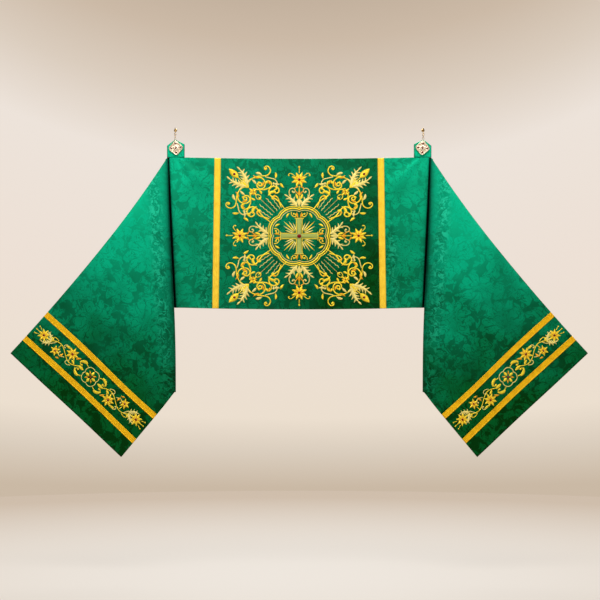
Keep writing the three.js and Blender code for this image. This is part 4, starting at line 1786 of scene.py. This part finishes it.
@dataclass
class CentrePanel:
    """The embroidered field in the middle, with the gold braids over its seams."""

    form: ClothForm
    wardrobe: Wardrobe
    rows: int = 104
    columns: int = 116
    braid_width: float = 23.0
    design_middle: float = 282.0
    design_scale: Pair = (1.05, 1.0)

    def panel(self) -> Piece:
        """The panel's cloth."""
        grid = self.form.centre_panel(self.rows, self.columns)
        shell = wall(grid, -HALF_CLOTH, HALF_CLOTH, RIM, grid * UNSHADED)
        return self.wardrobe.dress(shell.make("centre_cloth"), SHADED_CENTRE_SILK, "damask", "centre_panel")

    def braid(self, side: Side) -> Piece:
        """The braid over one seam.

        Args:
            side: The half that it lies in.

        Returns:
            The braid.
        """
        v = BRAID.down
        seam = self.form.seam.at(v)[0]
        columns = [self.form.centre(seam + share * self.braid_width / 2, v) for share in BRAID.across]
        shell = BRAID.shell(np.stack(columns, axis=1), self.braid_width)
        name = "braid_centre_" + side.tag
        return self.wardrobe.dress(shell.make("gold_" + name, side), CENTRE_BRAID, "centre_braid", name)

    def face(self, flat: Array) -> Array:
        """The panel's surface under the flat design."""
        down = self.design_middle - flat[..., 1] * self.design_scale[1]
        return self.form.centre(flat[..., 0] * self.design_scale[0], down / self.form.width)

    def embroidery(self) -> list[Piece]:
        """The embroidered square, one object for each thread and one for the stones."""
        needle = Embroidery(self.face)
        pieces = CentreDesign().pieces()
        made = []
        for thread, finish in THREADS.items():
            piece = needle.sew("centre_embroidery_" + thread.value, pieces, thread, Side.RIGHT)
            made.append(self.wardrobe.dress(piece, finish, "centre_braid"))
        stones = needle.set_stones("centre_stones", pieces, Side.RIGHT)
        made.append(self.wardrobe.dress(stones, GlassStone(), "centre_braid"))
        return made

    def build(self) -> None:
        """Builds the panel, its braids over the seams and its embroidery."""
        panel = self.panel()
        trimmings = [self.braid(side) for side in Side] + self.embroidery()


@dataclass
class SidePanel:
    """One side: the flat part, the hidden pleat and the wing, with the braids and band near its end."""

    form: ClothForm
    wardrobe: Wardrobe
    side: Side
    rows: int = 104
    braid_width: float = 22.0
    plain_end: float = 64.0
    band_width: float = 94.0
    # The braids' own width, a little less than the stripe that the wing keeps for them
    sewn_width: float = 20.8
    # How far the lower and the upper braid bow away from the end, and how far the upper one swings
    bow: Pair = (3.4, 0.6)
    swing: float = 2.2
    flat: Pair = (0.549, 1.1)
    tab_inner: float = 418.0
    tab_outer: float = 481.0
    tab_peak: Pair = (452.0, 65.0)
    tab_shoulders: Pair = (48.0, 43.0)
    tab_off: float = 17.0
    tab_half: float = 1.4
    # Rows of the tab, lower and upper, and the heights between which each run of rows lies
    tab_rows: tuple[int, int] = (15, 14)
    tab_runs: tuple[float, float, float, float] = (0.5, 42.0, 44.0, 64.4)
    tab_columns: int = 20
    # The tab's slight ripple: its height, its lengths out and down, and how fast it fades upwards
    ripple: float = 0.5
    ripple_length: Pair = (9.0, 14.0)
    ripple_fade: float = 40.0

    def panel(self) -> Piece:
        """The panel's cloth."""
        grid = self.form.side_panel(self.rows)
        open_marks, marks = grid * UNSHADED, grid.copy()
        # The second pattern coordinate carries the painted shade of the pleat
        marks[..., 1] = self.form.pleat_shade(grid)
        shell = wall(grid, -HALF_CLOTH, HALF_CLOTH, RIM, marks, open_marks)
        piece = shell.make("side_cloth_" + self.side.tag, self.side)
        return self.wardrobe.dress(piece, SIDE_SILK, "damask", "side_panel_" + self.side.tag)

    def braid(self, name: str, bottom: float) -> Piece:
        """One braid across the wing.

        Args:
            name: The CAD node's name without its side.
            bottom: How far its lower edge is from the end edge.

        Returns:
            The braid.
        """
        distance = bottom + (self.braid_width - self.sewn_width * BRAID.across) / 2
        grid = self.on_wing(distance[None, :], BRAID.down[:, None])
        shell = BRAID.shell(grid, self.braid_width)
        node = f"{name}_{self.side.tag}"
        return self.wardrobe.dress(shell.make("gold_" + node, self.side), WING_BRAID, "wing_braid", node)

    def on_wing(self, distance: Array, v: Array) -> Array:
        """Points near the end of the wing, where the drape bows the braids a little.

        Args:
            distance: How far from the end edge.
            v: 0 at the outer corner and 1 at the inner corner.

        Returns:
            Points of the frame.
        """
        share = (distance - self.plain_end) / (self.band_width + 2 * self.braid_width)
        bowed = distance + lerp(*self.bow, share) * np.sin(math.pi * v)
        return self.form.wing_end(bowed + self.swing * share * np.sin(2 * math.pi * v), v)

    def face(self, flat: Array) -> Array:
        """The wing's surface under the flat band."""
        middle = self.plain_end + self.braid_width + self.band_width / 2
        return self.on_wing(middle + flat[..., 1], 0.5 + flat[..., 0] / self.form.width)

    def embroidery(self) -> list[Piece]:
        """The embroidered band, one object for each thread and one for the stones."""
        needle = Embroidery(self.face)
        pieces = BandDesign().pieces()
        made = []
        for thread in (GOLD, AMBER, CREAM):
            piece = needle.sew(f"band_{thread.value}_{self.side.tag}", pieces, thread, self.side)
            made.append(self.wardrobe.dress(piece, THREADS[thread], "wing_braid"))
        stones = needle.set_stones("band_stones_" + self.side.tag, pieces, self.side)
        made.append(self.wardrobe.dress(stones, GlassStone(), "wing_braid"))
        return made

    def tab(self) -> Piece:
        """The pointed tab on the top edge, of the same damask, that carries the clasp.

        Returns:
            The tab.
        """
        peak_out, peak = self.tab_peak
        runs = (self.tab_runs[:2], self.tab_runs[2:])
        heights = np.concatenate([np.linspace(*run, rows) for run, rows in zip(runs, self.tab_rows)])[::-1]
        edges = [
            np.interp(heights, [0, shoulder, peak], [side, side, peak_out])[:, None]
            for shoulder, side in zip(self.tab_shoulders, (self.tab_inner, self.tab_outer))
        ]
        across = np.linspace(0, 1, self.tab_columns)
        out = lerp(*edges, across)
        down = -heights[:, None] + 0 * across
        phase = (out - self.tab_inner) / self.ripple_length[0] + down / self.ripple_length[1]
        ripple = self.ripple * np.sin(phase) * np.exp(down / self.ripple_fade + 0.2)
        grid = place(out, down, self.tab_off + ripple * np.sin(math.pi * across))
        shell = wall(grid, -self.tab_half, self.tab_half, 0.5, grid * UNSHADED)
        name = "tab_" + self.side.tag
        return self.wardrobe.dress(shell.make("damask_" + name, self.side), SIDE_SILK, "damask", name)

    def build(self) -> None:
        """Builds the side's cloth, its braids, its tab and its embroidery."""
        panel = self.panel()
        trimmings = [
            self.braid("braid_wing_lower", self.plain_end),
            self.braid("braid_wing_upper", self.plain_end + self.braid_width + self.band_width),
            self.tab(),
            *self.embroidery(),
        ]


@dataclass
class Clasp:
    """The openwork gilt clasp, its chain and its wall hook."""

    wardrobe: Wardrobe
    side: Side
    out: float = 449.0
    up: float = 35.0
    reach: float = 26.0
    tilt: float = 5.5
    squareness: float = 5.5
    face_off: float = 22.4
    chain_off: float = 20.6
    hole_at: float = 16.5
    # Radii: the ring round each hole, the beads, the rim wire, the fine wires and the scrolls' wire
    hole_ring: float = 4.0
    bead: float = 1.5
    rim_wire: float = 1.3
    fine_wire: float = 0.7
    scroll_wire: float = 0.65
    # The stones in the holes and the one in the middle: radius, and height of the girdle over the face
    hole_stone: Pair = (3.7, 0.2)
    middle_stone: Pair = (3.9, 2.6)
    hook_out: float = 451.5
    link_size: Triple = (7.0, 11.0, 1.8)
    link_pitch: float = 7.1
    top_link: float = -1.9
    hook_reach: float = 25.0
    hook_wire: float = 1.5
    hook_rise: float = 8.0

    def on_face(self, flat: Array, height: float | Array) -> Array:
        """Points over the clasp's face from flat ones, tilted as the clasp hangs.

        Args:
            flat: Flat points round the clasp's middle.
            height: How far they stand over the face.

        Returns:
            Points of the frame.
        """
        flat = turned(flat, -self.tilt)
        off = self.face_off + np.broadcast_to(height, flat.shape[:-1])
        return place(self.out + flat[..., 0], -self.up - flat[..., 1], off)

    def outline(self, reach: float, points: int = 64) -> Array:
        """A square with soft corners that stands on a corner, as flat points.

        Args:
            reach: How far its corners are from its middle.
            points: How many points it has.

        Returns:
            The flat points.
        """
        angle = 2 * math.pi * np.arange(points) / points
        power = self.squareness
        half = reach * 2 ** (1 / power - 0.5)
        spread = np.abs(np.cos(angle - math.pi / 4)) ** power + np.abs(np.sin(angle - math.pi / 4)) ** power
        radius = half / spread ** (1 / power)
        return np.stack([radius * np.cos(angle), radius * np.sin(angle)], axis=-1)

    def wire_on_face(self, shell: Shell, flat: Array, radius: float, closed: bool) -> None:
        """Lays a round wire on the clasp's face.

        Args:
            shell: The shell to add it to.
            flat: The flat points that it follows.
            radius: The wire's radius.
            closed: Whether it is a ring.
        """
        path, radii = self.on_face(flat, 0.0), radius
        if not closed:
            path, radii = capped(path, radius)
        shell.add_grid(wire(path, radii, 8, (0, 1, 0), closed), TORUS if closed else TUBE)

    def filigree(self) -> Piece:
        """The raised wires, scrolls, petals and beads on the clasp.

        Returns:
            The filigree.
        """
        shell = Shell()
        self.wire_on_face(shell, self.outline(self.reach - 1.6), self.rim_wire, True)
        self.wire_on_face(shell, self.outline(self.reach - 5.2), self.fine_wire, True)
        bead = np.array([(1.0, -0.1), (0.95, 0.35), (0.7, 0.75), (0.02, 1.0)]) * self.bead
        for turn in range(0, 360, 90):
            hole = turned((self.hole_at, 0), turn)
            self.wire_on_face(shell, hole + circle(24) * self.hole_ring, self.fine_wire, True)
            for s in (-1, 1):
                curl = walk((7.5, 0.8 * s), 38 * s, ((7, 1.5 * s, 3 * s), (9, -8 * s, -20 * s)), 0.6)
                self.wire_on_face(shell, turned(curl, turn + 45), self.scroll_wire, False)
            corner = turned((self.reach - 8.6, 0), turn + 45)
            shell.add_grid(lathe(bead, self.on_face(corner, 0.0), 12), TUBE)
        self.flower(shell)
        name = "filigree_" + self.side.tag
        return self.wardrobe.dress(shell.make(name, self.side), GILT, "gilt")

    def flower(self, shell: Shell) -> None:
        """Adds the flower in the middle of the clasp, eight hollowed petals round a boss, to a shell.

        Args:
            shell: The shell to add it to.
        """
        petal = drop((2.0, 0.0), 0, 8.5, 4.6, GOLD, 0, 0.55)
        half = petal.widths / 2
        columns = [petal.spine + np.stack([0 * half, half * s], axis=-1) for s in (-1, -0.5, 0, 0.5, 1)]
        flat = np.stack(columns, axis=1)
        hollow = np.array([0.0, 0.8, 0.5, 0.8, 0.0])
        rise = 0.9 + 1.6 * hollow * np.sin(math.pi * shares(petal.spine))[:, None]
        for i in range(8):
            shell.add_grid(self.on_face(turned(flat, 45 * i + 22.5), rise))
        boss = [(4.2, 1.0), (4.4, 2.0), (3.6, 3.0), (2.2, 3.7), (0.02, 4.0)]
        shell.add_grid(lathe(boss, self.on_face(np.zeros(2), 0.0), 20), TUBE)

    def stones(self) -> Piece:
        """The small stones in the four holes and on the middle."""
        shell = Shell()
        dome = ((1.0, -0.3), (0.95, 0.15), (0.7, 0.5), (0.02, 0.7))
        holes = [(turned((self.hole_at, 0), 90 * i), *self.hole_stone) for i in range(4)]
        for flat, radius, height in [*holes, (np.zeros(2), *self.middle_stone)]:
            profile = [(r * radius, height + h * radius) for r, h in dome]
            shell.add_grid(lathe(profile, self.on_face(flat, 0.0), 14), TUBE)
        return self.wardrobe.dress(shell.make("clasp_stones_" + self.side.tag, self.side), GARNET, "gilt")

    def plate(self) -> None:
        """Gilds the CAD clasp, whose plate, holes and eye are right as they are."""
        node = bpy.data.objects["clasp_" + self.side.tag]
        node.data.materials.clear()
        node.data.materials.append(self.wardrobe.material(DULL_GILT))

    def links(self) -> None:
        """The four chain links, every second one edge on."""
        width, length, thickness = self.link_size
        ring, stretch = (width - thickness) / 2, (length - width) / 2
        across, height = ring * circle(28).T
        height += np.where(circle(28)[:, 1] >= 0, stretch, -stretch)
        flat_on = np.stack([across, 0 * across, height], axis=-1)
        edge_on = np.stack([0 * across, across, height], axis=-1)
        for number in range(4):
            middle = (self.hook_out, -self.chain_off, self.top_link - number * self.link_pitch)
            path, normal = ((flat_on, (0, 1, 0)), (edge_on, (1, 0, 0)))[number % 2]
            shell = Shell()
            shell.add_grid(wire(path + middle, thickness / 2, 10, normal, True), TORUS)
            node = f"link_{self.side.tag}_{number + 1}"
            self.wardrobe.dress(shell.make("brass_" + node, self.side), BRASS, "chain", node)

    def hook(self) -> Piece:
        """The wall hook: a round plate with a soft edge, and an arm that turns up at its tip.

        Returns:
            The hook.
        """
        plate = [(0.02, 0.0), (5.6, 0.0), (6.0, 0.5), (5.8, 1.7), (5.0, 2.4), (3.2, 2.6), (0.02, 2.7)]
        shell = Shell()
        shell.add_grid(lathe(plate, np.array([self.hook_out, 0.0, 0.0]), 36), TUBE)
        elbow, wire_size = self.hook_reach - 2 * self.hook_wire, self.hook_wire
        straight = [(out, 0.0) for out in np.linspace(1.2, elbow, 10)]
        upright = (self.hook_reach + wire_size / 2, self.hook_rise / 2)
        bend = []
        for t in np.linspace(0, 1, 12)[1:]:
            out = (1 - t) ** 2 * elbow + 2 * t * (1 - t) * self.hook_reach + t**2 * upright[0]
            bend.append((out, t**2 * upright[1]))
        tip = [(self.hook_reach + wire_size, self.hook_rise - wire_size)]
        path = np.array([(self.hook_out, -out, up) for out, up in straight + bend + tip])
        path, radii = capped(path, wire_size)
        shell.add_grid(wire(path, radii, 12, (1, 0, 0)), TUBE)
        node = "wall_hook_" + self.side.tag
        return self.wardrobe.dress(shell.make("brass_" + node, self.side), BRASS, "hook", node)

    def build(self) -> None:
        """Builds the clasp's filigree, its chain and its hook."""
        for make in (self.filigree, self.stones, self.plate, self.links, self.hook):
            make()


@dataclass
class Studio:
    """The pale floor, the soft light and the camera."""

    floor_level: float = -1.62
    floor_radius: float = 3.5
    camera_at: Triple = (0.0028, -8.0, -0.619)
    lens: float = 131.5
    # The floor's tones near its middle, paler as a painted pool of light, and at its rim, and the distances
    # in metres where they start and end
    near_floor: str = "#F4F0EA"
    far_floor: str = "#CDBCAA"
    floor_fade: Pair = (0.75, 3.5)

    def floor(self) -> None:
        """The round floor, that mostly glows, painted paler in the middle as a pool of light, and that meets
        the background at its rim.
        """
        rings = [circle(96) * radius for radius in np.linspace(0.001, self.floor_radius, 8)]
        grid = np.pad(rings, ((0, 0), (0, 0), (0, 1)), constant_values=self.floor_level) / MM
        shell = Shell()
        shell.add_grid(grid, TUBE)
        floor = shell.make("studio_floor")
        recipe = [
            ("place", "TexCoord", {}, ()),
            ("far", "VectorMath", "LENGTH", ("place.Object",)),
            ("share", "MapRange", {}, ("far.Value", *self.floor_fade)),
            ("tint", "Mix", BLEND, {0: "share", 6: self.near_floor, 7: self.far_floor}),
            ("glow", "Emission", {}, {"Color": "tint.Result_Color", "Strength": 0.99}),
            ("matt", "BsdfDiffuse", {}, {"Color": "tint.Result_Color"}),
            ("paint", "MixShader", {}, {0: 0.08, 1: "glow", 2: "matt"}),
        ]
        floor.data.materials.append(new_material("matt_floor", recipe))

    def background(self) -> None:
        """The beige background, which is darker high up and near the floor, and lights the veil softly."""
        world = bpy.data.worlds.new("studio_wall")
        bpy.context.scene.world = world
        world.use_nodes = True
        tree = world.node_tree
        tree.nodes.clear()
        nodes = follow_recipe(tree, [
            ("place", "TexCoord", {}, ()),
            ("xyz", "SeparateXYZ", {}, ("place.Generated",)),
            ("height", "MapRange", {}, ("xyz.Z", -0.10, 0.15)),
            ("square", "Math", "MULTIPLY", ("xyz.X", "xyz.X")),
            ("arch", "Math", "MULTIPLY_ADD", ("square", -8.0, 1.0)),
            ("arched", "Math", "MULTIPLY", ("height", "arch")),
            ("ramp", "ValToRGB", {}, {0: "arched"}),
            ("path", "LightPath", {}, ()),
            ("seen", "Background", {}, {"Color": "ramp", "Strength": 1.0}),
            ("soft", "Background", {}, {"Color": "#F3ECE2", "Strength": 0.14}),
            ("both", "MixShader", {}, {0: "path.Is Camera Ray", 1: "soft", 2: "seen"}),
        ])
        ramp = nodes["ramp"].color_ramp
        stops = (
            (0.06, "#CAB9A5"), (0.125, "#DBCEBE"), (0.185, "#ECDFCF"), (0.40, "#EDE0D5"),
            (0.64, "#EDE3DA"), (0.76, "#DBCDBE"), (0.87, "#CCBAA7"), (0.95, "#C2B09D"),
        )
        for element in list(ramp.elements)[1:]:
            ramp.elements.remove(element)
        ramp.elements[0].position, ramp.elements[0].color = stops[0][0], linear(stops[0][1])
        for position, colour in stops[1:]:
            ramp.elements.new(position).color = linear(colour)
        add_node(tree, "OutputWorld", {}, {"Surface": nodes["both"].outputs[0]})

    def lamp(self, name: str, at: Triple, aim: Triple, size: Pair, power: float) -> None:
        """Hangs one soft lamp.

        Args:
            name: The lamp's name.
            at: Where it hangs.
            aim: The point that it faces.
            size: Its width and height.
            power: Its power in watts.
        """
        data = bpy.data.lights.new(name, "AREA")
        data.shape = "RECTANGLE"
        data.size, data.size_y = size
        data.energy = power
        lamp = bpy.data.objects.new(name, data)
        lamp.location = at
        direction = Vector(aim) - Vector(at)
        lamp.rotation_euler = direction.to_track_quat("-Z", "Y").to_euler()
        bpy.context.scene.collection.objects.link(lamp)

    def camera(self) -> None:
        """The camera, level and square to the veil, as the photograph was taken."""
        data = bpy.data.cameras.new("camera")
        data.lens = self.lens
        data.sensor_width = 36.0
        data.dof.use_dof = False
        camera = bpy.data.objects.new("camera", data)
        camera.location = self.camera_at
        camera.rotation_euler = (math.pi / 2, 0, 0)
        bpy.context.scene.collection.objects.link(camera)
        bpy.context.scene.camera = camera

    def build(self) -> None:
        """Sets up the whole studio."""
        self.floor()
        self.background()
        self.lamp("top_lamp", (0, -1.4, 0.7), (0, 0, -0.35), (3.0, 0.6), 20)
        self.lamp("overhead_lamp", (0, -3.2, 4.6), (0, 0, -0.6), (3.0, 2.5), 450)
        self.lamp("back_lamp", (0, 3.2, 2.6), (0, 0, -0.6), (3.0, 2.0), 260)
        self.camera()
        bpy.context.scene.view_settings.view_transform = "Standard"


def main() -> None:
    """Builds the veil and its studio around the frame."""
    logging.basicConfig(level=logging.INFO, format="%(message)s")
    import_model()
    form = ClothForm()
    wardrobe = Wardrobe()
    sides = [SidePanel(form, wardrobe, side) for side in Side]
    clasps = [Clasp(wardrobe, side) for side in Side]
    for assembly in (*sides, CentrePanel(form, wardrobe), *clasps, Studio()):
        assembly.build()
        log.info("built %s", type(assembly).__name__)


if __name__ == "__main__":
    main()
